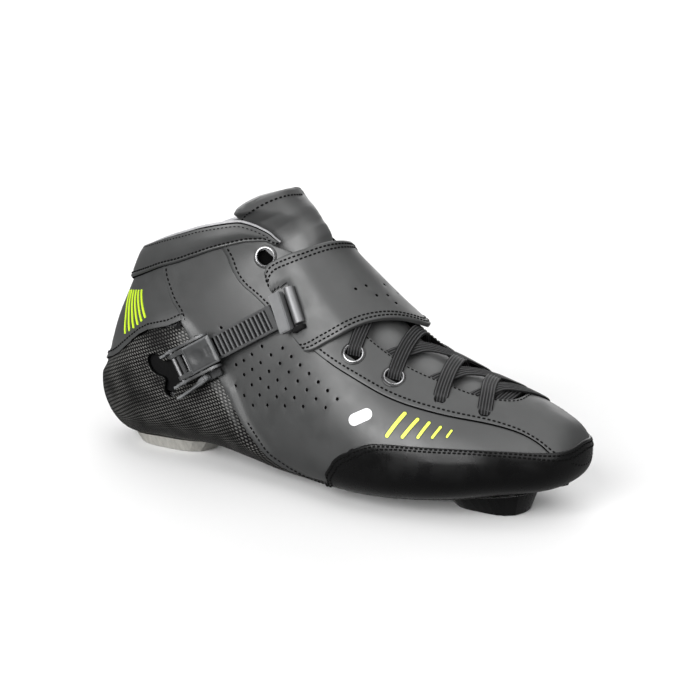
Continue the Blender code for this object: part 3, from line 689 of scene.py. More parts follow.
def knit(name, colour, silver):
    """Spacer mesh of the lining: rows of small loops with a silvery thread."""
    p = Paint(name, colour, 0.8, Sheen_Weight=0.3, Sheen_Roughness=0.4)
    loops = p.cells(620, "F1", jitter=0.35)
    p.set("Base Color", p.blend(p.ramp(loops, 0.05, 0.62), silver, scaled(colour, 0.35)))
    p.relief(p.math("SUBTRACT", 1.0, loops), 0.35, 0.7)
    return p.mat


def plastic(name, colour, roughness, grain=0.02, worn=3.0, shine=0.5):
    """Moulded or anodised part: fine spark texture, slight polish differences, and paler marked edges: a
    painted highlight on the chamfers, with some wear.
    """
    p = Paint(name, colour, roughness, Specular_IOR_Level=shine)
    tone = p.vary(p.noise(160, 3), colour, 0.9, 1.1)
    # marked edges are coloured paler: a painted highlight on the chamfers, with some wear
    p.set("Base Color", p.blend(p.times(p.attribute("edge"), 0.7), tone, scaled(colour, worn)))
    p.rough(p.noise(420, 3), roughness, 0.05, 0.06)
    p.relief(p.noise(2400, 2), grain, 0.4)
    return p.mat


def metal(name, colour, roughness, brushed=0.02):
    """Brushed or turned metal: fine lines along it."""
    p = Paint(name, colour, roughness, Metallic=1.0)
    lines = p.streaks((120, 2600, 2600), 3)
    p.set("Base Color", p.vary(lines, colour, 0.85, 1.1))
    p.rough(lines, roughness, 0.05, 0.08)
    p.relief(lines, brushed, 0.3)
    return p.mat


def thread(name, colour):
    """Twisted sewing thread."""
    p = Paint(name, colour, 0.7, Specular_IOR_Level=0.12)
    twist = p.node("TexWave", {"Vector": p.place(), "Scale": 900.0, "Distortion": 1.5}).outputs["Fac"]
    p.set("Base Color", p.blend(twist, scaled(colour, 0.5), scaled(colour, 1.5)))
    p.relief(twist, 0.08, 0.6)
    return p.mat


def printed(name, colour, roughness=0.45):
    """Thin welded film or print: very slightly uneven."""
    p = Paint(name, colour, roughness, Specular_IOR_Level=0.4)
    p.set("Base Color", p.vary(p.noise(500, 3), colour, 0.93, 1.04))
    p.relief(p.cells(1150, "DISTANCE_TO_EDGE"), 0.02, 0.4)
    return p.mat


def composite(name, colour):
    """Glass-filled moulding of the heel block, with fine upright flow lines."""
    p = Paint(name, colour, 0.5)
    lines = p.streaks((520, 300, 40), 4)
    p.set("Base Color", p.vary(lines, colour, 0.78, 1.15))
    p.relief(lines, 0.12, 0.5)
    return p.mat


LEATHER = leather("upper_microfibre", (0.036, 0.037, 0.037), 0.46)
TONGUE_SKIN = leather("tongue_microfibre", (0.07, 0.071, 0.071), 0.44)
RAND_SKIN = leather("rand_leather", (0.0012, 0.0012, 0.0013), 0.28, worn=4.5, crease=0.25, shine=0.28)
CARBON = carbon("carbon_twill")
LACE_CORD = braided("lace_braid", (0.026, 0.026, 0.027))
LINING_KNIT = knit("lining_mesh", (0.16, 0.16, 0.165), (0.34, 0.34, 0.35))
INSOLE = knit("insole_fabric", (0.07, 0.07, 0.072), (0.14, 0.14, 0.145))
# black of the painted edges and of the holes: edge paint that also stands in as painted shadow along the
# edges, and painted shade inside the holes
EDGE_PAINT_AND_SHADE = Paint("edge_paint_and_shade", (0.0015, 0.0015, 0.0015), 0.9, Specular_IOR_Level=0.05).mat
THREAD = thread("black_thread", (0.0022, 0.0022, 0.0022))
# the plastics colour their marked edges paler by the factor given: a painted highlight on the chamfers, with
# some wear
PLASTIC = plastic("buckle_plastic", (0.042, 0.043, 0.044), 0.33, worn=5.0)
LADDER_PLASTIC = plastic("ladder_plastic", (0.05, 0.051, 0.052), 0.38)
BLACK_PLASTIC = plastic("black_plastic", (0.0025, 0.0025, 0.0027), 0.55, shine=0.15)
CAST = plastic("cast_alloy", (0.15, 0.152, 0.155), 0.42, worn=2.0)
STEEL = metal("satin_steel", (0.24, 0.24, 0.245), 0.55)
NICKEL = metal("eyelet_nickel", (0.5, 0.5, 0.51), 0.25, 0.005)
BRIGHT_FILM = plastic("silver_piping", (0.34, 0.34, 0.35), 0.3, 0.03)
LIME = printed("lime_print", (0.60, 0.85, 0.035))
YELLOW = printed("yellow_print", (0.74, 0.84, 0.10))
OUTLINE = printed("dark_green_print", (0.02, 0.03, 0.01))
WHITE = printed("white_print", (0.86, 0.87, 0.88))
BLOCK = composite("heel_block_composite", (0.42, 0.41, 0.38))
INSERT = metal("machined_aluminium", (0.62, 0.62, 0.63), 0.32)
BLACK_METAL_AND_SHADE = plastic("blackened_rivet_and_eyelet_shade", (0.02, 0.02, 0.02), 0.3)


# ---- seams and edges, as (place, angle) points on the lateral side ----

# where each panel's edges run, from the outer side round to the heel or the toe
COLLAR_SEAM = [(11.6, 143.4), (12.35, 138.6), (12.95, 131.0), (13.38, 123.8), (13.95, 108.0), (14.3, 92.0),
               (14.64, 77.0), (14.78, 64.8), (14.95, 40.0), (15.0, 18.5), (15.0, 0.0)]
RIM = [(11.5, 145.5), (12.5, 141.8), (13.15, 137.6), (13.76, 132.6), (14.35, 126.0), (14.78, 118.5),
       (15.22, 104.0), (15.56, 87.5), (15.76, 68.5), (15.86, 40.0), (15.9, 17.0), (15.9, 0.0)]
EYESTAY_OUTER = [(13.95, 111.0), (12.73, 117.4), (11.06, 120.7), (9.0, 121.5), (6.76, 124.5),
                 (5.45, 128.2), (4.35, 130.5), (3.2, 133.5), (2.45, 132.7), (1.9, 126.0),
                 (1.3, 105.0), (0.8, 70.0), (0.6, 0.0)]
EYESTAY_INNER = [(11.5, 142.6), (10.2, 148.0), (8.5, 150.0), (5.65, 151.5), (4.28, 153.8),
                 (3.5, 155.0), (2.95, 163.0), (2.8, 180.0)]
QUARTER_LOW = [(14.95, 72.5), (13.47, 84.6), (12.24, 91.4), (11.74, 92.4), (11.1, 92.8), (10.0, 90.6),
               (9.16, 87.4), (8.48, 80.4), (7.9, 68.0), (7.45, 52.0), (7.05, 39.0), (6.6, 34.0), (6.0, 36.0),
               (5.4, 46.0), (4.4, 56.0), (3.0, 60.0), (2.0, 66.0), (1.25, 80.0)]
QUARTER_HIGH = [(14.05, 109.6), (12.73, 116.6), (11.06, 120.0), (9.0, 120.8), (6.76, 123.8),
                (5.45, 127.5), (4.35, 129.8), (3.2, 132.8), (2.45, 131.5), (1.9, 124.0), (1.4, 108.0)]
HEEL_SEAM = [(11.72, 93.6), (12.24, 92.6), (13.47, 85.8), (14.2, 79.1), (14.95, 73.8)]
HEEL_EDGE = [(11.72, 93.6), (12.05, 86.5), (12.36, 80.4), (12.55, 72.0), (12.57, 60.0), (12.6, 50.0),
             (12.8, 34.0), (12.86, 15.0), (12.86, 0.0)]
EYESTAY_END = [(13.95, 111.0), (13.75, 117.0), (13.4, 124.4), (12.95, 131.2), (12.4, 137.8),
               (11.95, 140.6), (11.5, 142.6)]
RAND_TOP = [(6.2, 50.0), (6.12, 66.0), (6.05, 74.5), (5.94, 82.75), (5.84, 86.5), (5.74, 88.5), (5.64, 89.4),
            (5.53, 90.1), (5.43, 91.6), (5.3, 94.6), (5.18, 97.0), (5.06, 98.8), (4.86, 100.6),
            (4.66, 102.0), (4.2, 104.1), (3.72, 106.2), (3.16, 107.8), (2.54, 109.2), (1.8, 110.0),
            (1.3, 111.5), (0.85, 121.0), (0.55, 180.0)]
RAND_LOW = [(6.35, 36.0), (5.6, 35.0), (4.8, 34.0), (4.0, 33.5), (3.0, 31.0), (2.4, 24.0), (2.0, 13.0),
            (1.85, 0.0)]
# place, and the angle that the shell reaches to each side of the sole; the lining's is the same
SHELL_SPAN = [(1.75, 12), (2.1, 23), (2.4, 29), (3.0, 34), (4.0, 36), (5.5, 36), (6.6, 35), (7.2, 41),
              (7.6, 60), (8.48, 81), (9.16, 87.8), (10.0, 91), (11.1, 93.2), (11.74, 90.8),
              (12.37, 81), (12.6, 68), (12.8, 50), (12.88, 33)]
# place, then the tongue's lateral and medial edges
TONGUE_SPAN = [(3.1, 166, 194), (4.0, 150, 210), (6.0, 142, 218), (12.0, 135, 225), (13.0, 130, 222),
               (14.0, 124, 214), (15.0, 117, 203), (15.3, 116, 199), (15.55, 118, 195),
               (15.75, 127, 188), (15.87, 138, 178)]
LINING_SPAN = [(0.9, 177), (1.8, 177), (2.7, 175), (3.3, 157), (4.0, 149), (9.0, 148), (11.0, 144),
               (12.2, 140), (13.2, 134), (14.1, 124), (14.65, 114), (15.1, 100), (15.38, 84),
               (15.6, 60), (15.68, 34)]
# where the facings and the collar stop and the tongue shows: place, angle
OPENING = np.array([(3.0, 163.0), (3.5, 156.0), (5.65, 151.5), (8.5, 150.0), (10.2, 148.0), (11.5, 144.5),
                    (12.5, 141.8), (13.76, 132.6), (14.78, 118.5), (15.22, 104.0), (15.9, 80.0)])
# holes and screw, as (place, angle)
EYELETS = ((11.31, 135.8), (5.93, 137.2), (5.05, 141.0))
LACE_HOLES = ((4.1, 141.0), (3.23, 142.0))
STRAP_ANCHOR = (9.6, 256.0)

# ---- the buckle's frame: x along the ladder towards the instep, z away from the boot ----

BUCKLE_CENTRE = on_skin((10.19, 90.8))
RUN = np.array((0.85920, 0.08498, 0.50453))
OUT = np.array((0.07328, -0.99638, 0.04303))
ACROSS = np.cross(OUT, RUN)
SEAT = 4.2
PLATE = SEAT + 1.2
LEVER_PIN = (-12.0, SEAT + 5.6)
PAWL_PIN = (0.0, SEAT + 4.7)
SPRING_AXIS = (-6.4, SEAT + 4.45)
RELEASE_PIN = (-1.0, -11.7)
LADDER_LOW, LADDER_HIGH = SEAT + 1.5, SEAT + 3.3
BLOCK_X = (52.7, 59.5)
STRAP_PIN = (63.7, 3.5)
END_TWIST = math.radians(-14.0)


def in_boot(points):
    """Points of the buckle's frame, in the boot's."""
    points = np.asarray(points, float)
    return BUCKLE_CENTRE + points[..., :1] * RUN + points[..., 1:2] * ACROSS + points[..., 2:] * OUT


def in_buckle(points):
    away = np.asarray(points, float) - BUCKLE_CENTRE
    return np.stack([away @ RUN, away @ ACROSS, away @ OUT], -1)


# ---- boot: shell, panels, collar, tongue ----

def span_patch(spans, places, columns):
    """A patch whose rows reach the same angle to both sides of the sole."""
    table = np.array(spans, float)
    reach = np.interp(places, table[:, 0], table[:, 1])
    turn = reach[:, None] * np.linspace(-1, 1, columns + 1)[None, :]
    made = Patch.__new__(Patch)
    u, v = made.lay(np.stack([np.broadcast_to(places[:, None], turn.shape), turn], -1))
    middle = columns // 2
    made.uv = np.stack([u, v - v[:, middle:middle + 1]], -1)
    return made


def close_places(start, end, step):
    """Places from start to end, with extra ones near both ends."""
    near = np.array([0.0, 0.006, 0.016, 0.035, 0.06])
    inner = np.arange(start + 0.06 + step, end - 0.06 - step / 2, step)
    return np.concatenate([start + near, inner, (end - near)[::-1]])


def shell_edge():
    """The shell's edge as a fine line of skin points, from one side's toe end to the other's."""
    edge = np.array(SHELL_SPAN, float)
    side = smooth(edge)
    across = np.stack([np.full(30, edge[-1, 0]), np.linspace(edge[-1, 1], -edge[-1, 1], 30)], -1)
    return skin(np.concatenate([side, across, side[::-1] * (1, -1)]))


SHELL_LINE = shell_edge()


def from_shell_edge(points):
    return np.concatenate([np.linalg.norm(part[:, None] - SHELL_LINE[None], axis=2).min(1)
                           for part in np.array_split(points, max(1, len(points) // 2000))])


def clear_of(gap):
    """1 on the shell's edge and inside it, 0 where a panel beside it lies on the skin."""
    return 1 - fade(gap, 0.2, 5.0)


def over_shell(polar):
    """Signed distance from the shell's edge in mm, negative over the shell."""
    gap = from_shell_edge(skin(polar).reshape(-1, 3))
    table = np.array(SHELL_SPAN, float)
    turn = np.abs((polar[..., 1] + 180) % 360 - 180)
    inside = (polar[..., 0] < table[-1, 0]) & (turn < np.interp(polar[..., 0], table[:, 0], table[:, 1]))
    return gap.reshape(turn.shape) * np.where(inside, -1, 1)


# the cut in the shell beside the buckle, as (x, y) in the buckle's frame
RECESS = [(-34.4, 12.4), (-33.2, 13.2), (-31.5, 13.2), (-28.8, 13.0), (-27.3, 11.9), (-26.2, 8.6),
          (-24.9, 6.6), (-21.2, 6.0), (-15.2, 5.8), (-8.0, 5.6), (-5.0, 3.0), (-5.0, -6.0), (-9.0, -8.4),
          (-18.0, -8.6), (-25.3, -8.6), (-27.4, -10.4), (-28.8, -11.5), (-31.0, -12.0), (-32.8, -10.9),
          (-34.2, -8.8), (-33.2, -6.0), (-31.4, -4.0), (-29.9, -2.6), (-29.8, -1.0), (-31.0, 0.6),
          (-32.7, 1.9), (-34.4, 3.5), (-35.6, 5.8), (-35.9, 8.4), (-35.5, 10.8)]


CLOTH_LEAN = math.radians(24)
HEEL_CENTRE, HEEL_RADIUS = -6.0, 35.0


def weave_map(points, up):
    """Cloth coordinates in mm: along the sides and round the heel, and up the wall."""
    x, y, z = np.moveaxis(points, -1, 0)
    wide = np.interp(x, STATIONS[::-1][6:, 0], STATIONS[::-1][6:, 4])
    turn = np.arctan2(HEEL_CENTRE - x, np.abs(y) + 1e-6)
    u = np.where(x > HEEL_CENTRE, x - HEEL_CENTRE, -HEEL_RADIUS * turn)
    under = fade(-up[..., 2], 0.35, 0.85)
    inward = np.clip(wide - np.abs(y), 0, None)
    v = z - inward * under
    c, s = math.cos(CLOTH_LEAN), math.sin(CLOTH_LEAN)
    return np.stack([u * c - v * s, u * s + v * c], -1)


def make_shell():
    patch = span_patch(SHELL_SPAN, close_places(1.75, 12.88, 0.09), 96)
    inward = np.maximum(-over_shell(patch.polar), 0)
    tuck = 1 - fade(inward, 1.5, 8.0)
    patch.uv = weave_map(patch.skin, patch.normal)
    shape = patch.solid(2.7 - 2.3 * tuck, 0.9 - 1.7 * tuck, 0.6)
    shell = piece("shell_carbon", shape, [CARBON, BLACK_PLASTIC], None, ["carbon_shell"], 45)
    cutter_shape = Shape()
    prism(cutter_shape, RECESS, -12.0, 12.0, bevel=0)
    cutter = piece("recess_cutter", cutter_shape, [BLACK_PLASTIC, BLACK_PLASTIC], None)
    cut = shell.modifiers.new("recess", "BOOLEAN")
    cut.object, cut.operation, cut.solver = cutter, "DIFFERENCE", "EXACT"
    data = bpy.data.meshes.new_from_object(shell.evaluated_get(bpy.context.evaluated_depsgraph_get()))
    shell.modifiers.clear()
    shell.data = data
    bpy.data.objects.remove(cutter)
    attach(shell, "boot")
    low = [(9.7, 72.0), (9.7, 80.0), (9.7, 93.0)]
    high = [(11.8, 72.0), (11.8, 80.0), (11.8, 91.0)]
    floor = Patch(low, high, cell=2.5)
    piece("recess_floor", floor.solid(0.35, -0.6, 0.3), [BLACK_PLASTIC, EDGE_PAINT_AND_SHADE], "boot",
          ["recess_plate"])


def make_heel_panel(seams):
    edge = mirrored(HEEL_EDGE[:-1]) + HEEL_EDGE[::-1]
    patch = Patch(mirrored(HEEL_SEAM), HEEL_SEAM, cell=2.6, start=edge, reach=60)
    lift = clear_of(over_shell(patch.polar))
    shape = patch.solid(-0.3 + 1.7 * lift, -1.7 + 1.6 * lift, 0.7, painted=0.35)
    piece("heel_leather", shape, [LEATHER, EDGE_PAINT_AND_SHADE], "boot", ["heel_panel"])
    points, normals = patch.line("start", 3.2, 0.0)
    height = -0.3 + 1.7 * clear_of(from_shell_edge(points))
    stitches(seams, points + normals * height[:, None], normals, pitch=2.4)


# rows of perforations as the (x, z) of their first and last hole and the number of holes
PERFORATIONS = (((91, 74), (128, 55), 7), ((78, 73), (122, 50), 8), ((72, 68), (108, 48), 7),
                ((67, 64), (96, 46), 6), ((62, 61), (84, 44), 5), ((62, 50), (74, 42), 3),
                ((52, 79), (58, 76), 1))
PERFORATION_RADIUS, PERFORATION_DEPTH = 0.85, 1.15


def make_quarters(seams):
    for label, sign in SIDES:
        patch = Patch(on_side(QUARTER_LOW, sign), on_side(QUARTER_HIGH, sign), cell=2.5, grow=(0.7, 0.9))
        lift = clear_of(over_shell(patch.polar)) * fade(patch.polar[..., 0], 6.3, 7.3)
        for start, end, count in PERFORATIONS:
            for k in range(count):
                x, z = np.asarray(start) + (np.asarray(end) - start) * k / max(1, count - 1)
                flat = patch.skin[..., [0, 2]] - (x, z)
                i, j = np.unravel_index(np.linalg.norm(flat, axis=2).argmin(), patch.shape)
                near, n = patch.skin[i, j], patch.normal[i, j]
                move = np.array([x - near[0], 0, z - near[2]])
                move[1] = -(move @ n) / n[1]
                patch.punch(near + move, PERFORATION_RADIUS, PERFORATION_DEPTH)
        shape = patch.solid(1.5 * lift, -1.6 + 1.6 * lift, 0.6, painted=0.35)
        piece(label + "_quarter_leather", shape, [LEATHER, EDGE_PAINT_AND_SHADE], "boot", [label + "_quarter"])
        for inset, span in ((2.6, (0.0, 0.26)), (3.6, (0.36, 0.68))):
            points, normals = patch.line("low", inset, 0.0, span)
            height = 1.5 * clear_of(from_shell_edge(points)) * (span[0] > 0)
            stitches(seams, points + normals * height[:, None], normals, pitch=2.5)


def make_eyestay(seams):
    patch = Patch(both_sides(EYESTAY_OUTER), both_sides(EYESTAY_INNER), "disc", cell=2.5, grow=(1.0, 0.0),
                  start=EYESTAY_END, end=mirrored(EYESTAY_END))
    for spots, radius in ((EYELETS, 4.1), (LACE_HOLES, 2.9)):
        for place, angle in spots:
            for _, sign in SIDES:
                patch.punch(skin(np.array([place, sign * angle])), radius, 2.2, 2)
    shape = patch.solid(1.05, -1.6, 0.9, painted=0.5)
    piece("eyestay_leather", shape, [LEATHER, EDGE_PAINT_AND_SHADE], "boot", ["eyestay"])
    stitches(seams, *patch.line("low", 3.1, 1.05), pitch=2.5)
    stitches(seams, *patch.line("high", 1.8, 1.05, (0.06, 0.94)), pitch=2.3, length=1.5, radius=0.36)


def make_collar(seams):
    patch = Patch(both_sides(COLLAR_SEAM), both_sides(RIM), cell=2.2, grow=(1.6, 0.0))
    gap = patch.border()
    shape = patch.solid(1.1 + 0.8 * fade(gap, 0, 6), -1.9, 1.0, painted=0.3)
    piece("collar_leather", shape, [LEATHER, EDGE_PAINT_AND_SHADE], "boot", ["collar_band"])
    stitches(seams, *patch.line("low", 3.0, 1.65), pitch=2.4)
    stitches(seams, *patch.line("high", 1.9, 1.05), pitch=2.2, length=1.4, radius=0.36)
    welt = smooth(both_sides(COLLAR_SEAM))[::4]
    roll = tube(Shape(), on_skin(welt, np.full(len(welt), 0.9)), 1.0, 12)
    piece("collar_welt", roll, [LEATHER], "boot")
    rim = smooth([(place + 0.02, angle) for place, angle in both_sides(RIM)])[::4]
    piping = tube(Shape(), on_skin(rim, np.full(len(rim), -1.6)), 0.85, 12)
    piece("rim_piping", piping, [BRIGHT_FILM], "boot", ["collar_piping"])


def make_rand(seams):
    patch = Patch(both_sides(RAND_LOW), both_sides(RAND_TOP), "disc", cell=1.8)
    # a thicker, double-stitched band along the top edge
    top = np.minimum(np.linalg.norm(patch.skin - patch.skin[:, -1:], axis=2), 20)
    height = 1.35 + 0.35 * (1 - fade(top, 5.2, 6.4))
    shape = patch.solid(height, 0.2, 0.9, wear=4.0)
    piece("rand_leather", shape, [RAND_SKIN, EDGE_PAINT_AND_SHADE], "boot", ["toe_rand"])
    for side, level in (("high", 1.7), ("start", 1.5), ("end", 1.5)):
        for inset in (1.8, 4.0):
            stitches(seams, *patch.line(side, inset, level), pitch=2.4)


# how far the tongue leans out at each place, from its outer to its inner half
TONGUE_LEAN = np.array([(8.6, 0.0), (9.8, 1.8), (11.0, 2.6), (12.0, 1.2), (13.0, -1.5), (14.0, -3.7),
                        (14.8, -5.2), (15.87, -5.6)])


def tongue_height(polar):
    """The tongue's outer face: it swells up between the edges of the opening."""
    place, turn = polar[..., 0], polar[..., 1]
    clear = np.minimum(turn, 360 - turn) - np.interp(place, OPENING[:, 0], OPENING[:, 1])
    rise = (4.9 * fade(place, 3.0, 3.6) * (1 - fade(place, 7.0, 9.0)) + 2.6 * fade(place, 7.0, 9.0)
            + 2.6 * fade(place, 11.0, 13.4))
    puff = 0.6 * np.sin(place * 2 * math.pi / 0.9) * (1 - fade(place, 5.6, 6.2)) * fade(clear, 4, 14)
    lean = np.interp(place, TONGUE_LEAN[:, 0], TONGUE_LEAN[:, 1]) * fade(turn, 148, 196)
    return -6.2 + rise * fade(clear, -2, 20) + puff + lean


def make_tongue(seams):
    tip = [*np.linspace(15.2, 15.8, 9), 15.83, 15.855, 15.87]
    places = np.concatenate([close_places(3.1, 15.2, 0.11)[:-4], tip])
    table = np.array(TONGUE_SPAN, float)
    start, end = (np.interp(places, table[:, 0], table[:, k])[:, None] for k in (1, 2))
    turn = start + (end - start) * np.linspace(0, 1, 61)[None, :]
    patch = span_patch(SHELL_SPAN, places, 60)
    patch.lay(np.stack([np.broadcast_to(places[:, None], turn.shape), turn], -1))
    height = tongue_height(patch.polar)
    shape = patch.solid(height, np.minimum(height - 2.6, -5.0), 1.3)
    piece("tongue_leather", shape, [TONGUE_SKIN, EDGE_PAINT_AND_SHADE], "boot", ["tongue"])
    fine = smooth([(14.55, 121.0), (14.9, 127.0), (15.12, 136.0), (15.2, 147.0), (15.15, 158.0),
                   (15.05, 168.0), (14.95, 178.0), (14.85, 186.0)])
    stitches(seams, on_skin(fine, tongue_height(fine)), normal(fine), pitch=2.5)


def make_lining():
    patch = span_patch(LINING_SPAN, close_places(0.9, 15.68, 0.14), 72)
    toe = np.clip(2.4 - patch.polar[..., 0], 0, 1)
    rim = fade(patch.polar[..., 0], 15.1, 15.6)
    shape = patch.solid(-3.2 - toe + 1.2 * rim, -5.6 - toe - 0.8 * (1 - rim), 1.0)
    piece("lining_padding", shape, [LINING_KNIT, EDGE_PAINT_AND_SHADE], "boot", ["lining"])
    sole = span_patch([(2.4, 18), (3.6, 28), (11.2, 24)], close_places(2.4, 11.2, 0.2), 24)
    piece("insole_board", sole.solid(-9.0, -6.6, 0.6), [INSOLE, EDGE_PAINT_AND_SHADE], "boot", ["footbed"])


# ---- eyelets and laces ----

# radius and height, and 1 where the metal is black: the blackened outer flange, whose black also stands in as
# painted shade around the bead, and the inside of the barrel, a painted shade in the hole
EYELET_PROFILE = ((4.0, -1.4), (4.05, 0.2), (4.2, 0.75), (4.55, 1.05), (4.95, 0.95), (5.15, 0.6),
                  (5.35, 0.55), (5.75, 0.55), (6.0, 0.35), (6.05, -0.1), (6.0, -0.3), (4.6, -0.3),
                  (4.5, -1.4))
EYELET_FINISH = (1, 0, 0, 0, 0, 1, 1, 1, 1, 1, 1, 1, 1)


def make_eyelets():
    for label, sign in SIDES:
        for number, (place, angle) in enumerate(EYELETS, 1):
            polar = np.array([place, sign * angle])
            ring = lathe(Shape(), EYELET_PROFILE, on_skin(polar, 0.95), normal(polar), 36, EYELET_FINISH)
            piece(f"eyelet_ring_{label}_{number}", ring, [NICKEL, BLACK_METAL_AND_SHADE], "boot",
                  [f"eyelet_{label}_{number}"], 40)


def lace_run(stops):
    """A lace path through (place, angle, height) stops, with the skin's normals."""
    fine = smooth(stops, 14)
    points = on_skin(fine[:, :2], fine[:, 2])
    return points, normal(fine[:, :2])


def make_laces():
    """Criss-cross lacing: each run leaves under one facing and enters the next hole opposite."""
    over = [
        [(5.93, 137.2, -1.0), (5.95, 140.5, 1.6), (6.0, 149, 2.4), (6.1, 165, 1.4), (6.15, 180, 1.2),
         (6.2, 198, 0.6), (6.2, 207, -2.6)],
        [(5.05, 141.0, -1.0), (5.07, 144.5, 1.8), (5.12, 153, 2.8), (5.2, 167, 2.6), (5.27, 182, 2.6),
         (5.33, 198, 0.9), (5.36, 209, -2.6)],
        [(4.1, 141.0, -1.2), (4.12, 144.5, 1.7), (4.18, 154, 2.6), (4.27, 167, 2.4), (4.34, 180, 2.4),
         (4.42, 197, 0.8), (4.45, 209, -2.6)],
        [(3.23, 142.0, -1.2), (3.26, 146, 1.7), (3.35, 156, 2.6), (3.47, 168, 2.4), (3.55, 180, 2.2),
         (3.62, 195, 0.7), (3.65, 207, -2.4)],
    ]
    under = [
        [(5.36, 148.0, -3.0), (5.27, 154, -0.4), (5.1, 163, 0.6), (4.93, 173, 1.6), (4.55, 186, 2.0),
         (4.3, 203, 1.5), (4.14, 215, 1.3), (4.1, 219, -1.0)],
        [(4.44, 148.0, -3.0), (4.36, 155, -0.4), (4.2, 163, 0.6), (4.03, 173, 1.6), (3.66, 186, 2.0),
         (3.42, 203, 1.5), (3.26, 214, 1.3), (3.23, 218, -1.0)],
        [(3.62, 149.0, -3.0), (3.55, 156, -0.6), (3.42, 164, 0.4), (3.28, 173, 1.6), (2.98, 186, 1.8),
         (2.78, 203, 1.4), (2.68, 214, 1.2), (2.66, 218, -1.0)],
    ]
    bar = [(3.2, 146.0, -3.4), (3.1, 156, -1.4), (3.06, 168, -0.5), (3.05, 180, -0.2), (3.06, 192, -0.5),
           (3.1, 204, -1.4), (3.2, 214, -3.4)]
    runs = [(f"lace_over_{k}", stops, [f"lace_{k}"] + ["lace_5"] * (k == 4))
            for k, stops in enumerate(over, 1)]
    runs += [(f"lace_under_{k}", stops, ()) for k, stops in enumerate(under, 1)] + [("lace_bar", bar, ())]
    for name, stops, replaced in runs:
        shape = ribbon(Shape(), *lace_run(stops), LACE_WIDTH, LACE_THICK)
        piece(name, shape, [LACE_CORD], "boot", replaced, 70)


# ---- instep strap ----

STRAP_HIGH = [(10.1, 129.5), (10.5, 131.5), (10.69, 136.0), (10.19, 145.0), (9.43, 160.0), (8.71, 182.0),
              (8.75, 200.0), (9.3, 225.0), (9.9, 245.0), (10.3, 262.0)]
STRAP_LOW = [(7.05, 120.5), (6.84, 124.0), (6.6, 131.0), (6.3, 141.0), (5.99, 154.2), (5.69, 168.2),
             (5.4, 184.5), (5.35, 200.0), (5.9, 220.0), (7.2, 240.0), (8.9, 262.0)]


STRAP_DOTS = ((6.7, 163.8), (6.6, 171.3), (6.26, 172.5), (6.14, 180.5), (5.9, 181.3), (6.45, 188.0),
              (6.2, 196.0))
STRAP_THICK = 2.1
SCREW_PROFILE = ((0.01, 0.9), (1.6, 0.9), (1.8, 1.9), (3.4, 1.9), (4.6, 1.4), (5.0, 0.5), (5.0, 0.0),
                 (0.01, 0.0))


def strap_low(angle):
    """The strap's inner face rises over the eyestay's edge to clear the laces."""
    return 1.3 + 2.5 * fade(angle, 132, 147)


def make_strap():
    patch = Patch(STRAP_LOW, STRAP_HIGH, cell=2.3)
    where = in_buckle(patch.skin)
    x, y, z = np.moveaxis((where[:-1, :-1] + where[1:, 1:]) / 2, -1, 0)
    # a notch for the end block, on the outer side only
    patch.keep &= ~((x < 61.0) & (np.abs(y) < 12.2) & (z > -15.0))
    low = strap_low(patch.polar[..., 1])
    for place, angle in STRAP_DOTS:
        patch.punch(skin(np.array([place, angle])), 0.8, 1.2)
    shape = patch.solid(low + STRAP_THICK, low, 0.9)
    strap = piece("strap_leather", shape, [LEATHER, EDGE_PAINT_AND_SHADE], None, ["instep_strap"])
    rows = Shape()
    for inset in (2.2, 4.6):
        for side in ("low", "high"):
            points, normals = patch.line(side, inset, 0.0)
            angle = patch.polar[:, 0 if side == "low" else -1, 1]
            height = strap_low(angle) + STRAP_THICK
            stitches(rows, points + normals * height[:, None], normals, pitch=2.4)
    thread_rows = piece("strap_stitching", rows, [THREAD], None)
    for obj in (strap, thread_rows):
        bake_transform(obj)
    anchor = np.array(STRAP_ANCHOR)
    screw = lathe(Shape(), SCREW_PROFILE, on_skin(anchor, 5.95), normal(anchor), 36)
    piece("strap_screw", screw, [STEEL], "boot", ["strap_anchor_screw"], 35)


# ---- flat prints ----

def bar_print(name, stops, widths, height, mat, grow=0.0):
    """A thin raised bar with round ends along a curve of (place, angle) points."""
    polar = smooth(stops, 12)
    points, n = on_skin(polar, np.zeros(len(polar))), normal(polar)
    length = run_length(points)
    total = length[-1]
    ahead = unit(np.gradient(points, axis=0))
    half = np.interp(length, [0, total], np.asarray(widths) / 2) + grow
    caps = np.linspace(0, math.pi / 2, 6)
    at = np.concatenate([-half[0] * np.cos(caps), np.linspace(0, total, 13)[1:-1],
                         total + half[-1] * np.sin(caps)])
    columns = np.hstack([points, ahead, n, half[:, None]]).T
    rows = []
    for s in at:
        on = float(np.clip(s, 0, total))
        mid = np.array([np.interp(on, length, column) for column in columns])
        c, a, up, w = mid[:3] + unit(mid[3:6]) * (s - on), unit(mid[3:6]), unit(mid[6:9]), mid[9]
        w = max(0.02, math.sqrt(max(0.0, w * w - (s - on) ** 2)))
        side = np.cross(up, a)
        rows.append((c - side * w, c + side * w, up))
    shape = Shape()
    corners = [(r[k] + r[2] * h) for h in (height, -0.4) for r in rows for k in (0, 1)]
    count, o = len(rows), 2 * len(rows)
    faces = []
    for k in range(count - 1):
        a, b, c, d = 2 * k, 2 * k + 1, 2 * k + 3, 2 * k + 2
        faces += [(a, b, c, d), (o + d, o + c, o + b, o + a), (a, d, o + d, o + a), (b, o + b, o + c, c)]
    faces += [(0, o, o + 1, 1), (o - 2, o - 1, 2 * o - 1, 2 * o - 2)]
    shape.add(corners, faces)
    return piece(name, shape, [mat], "boot", sharp=30)


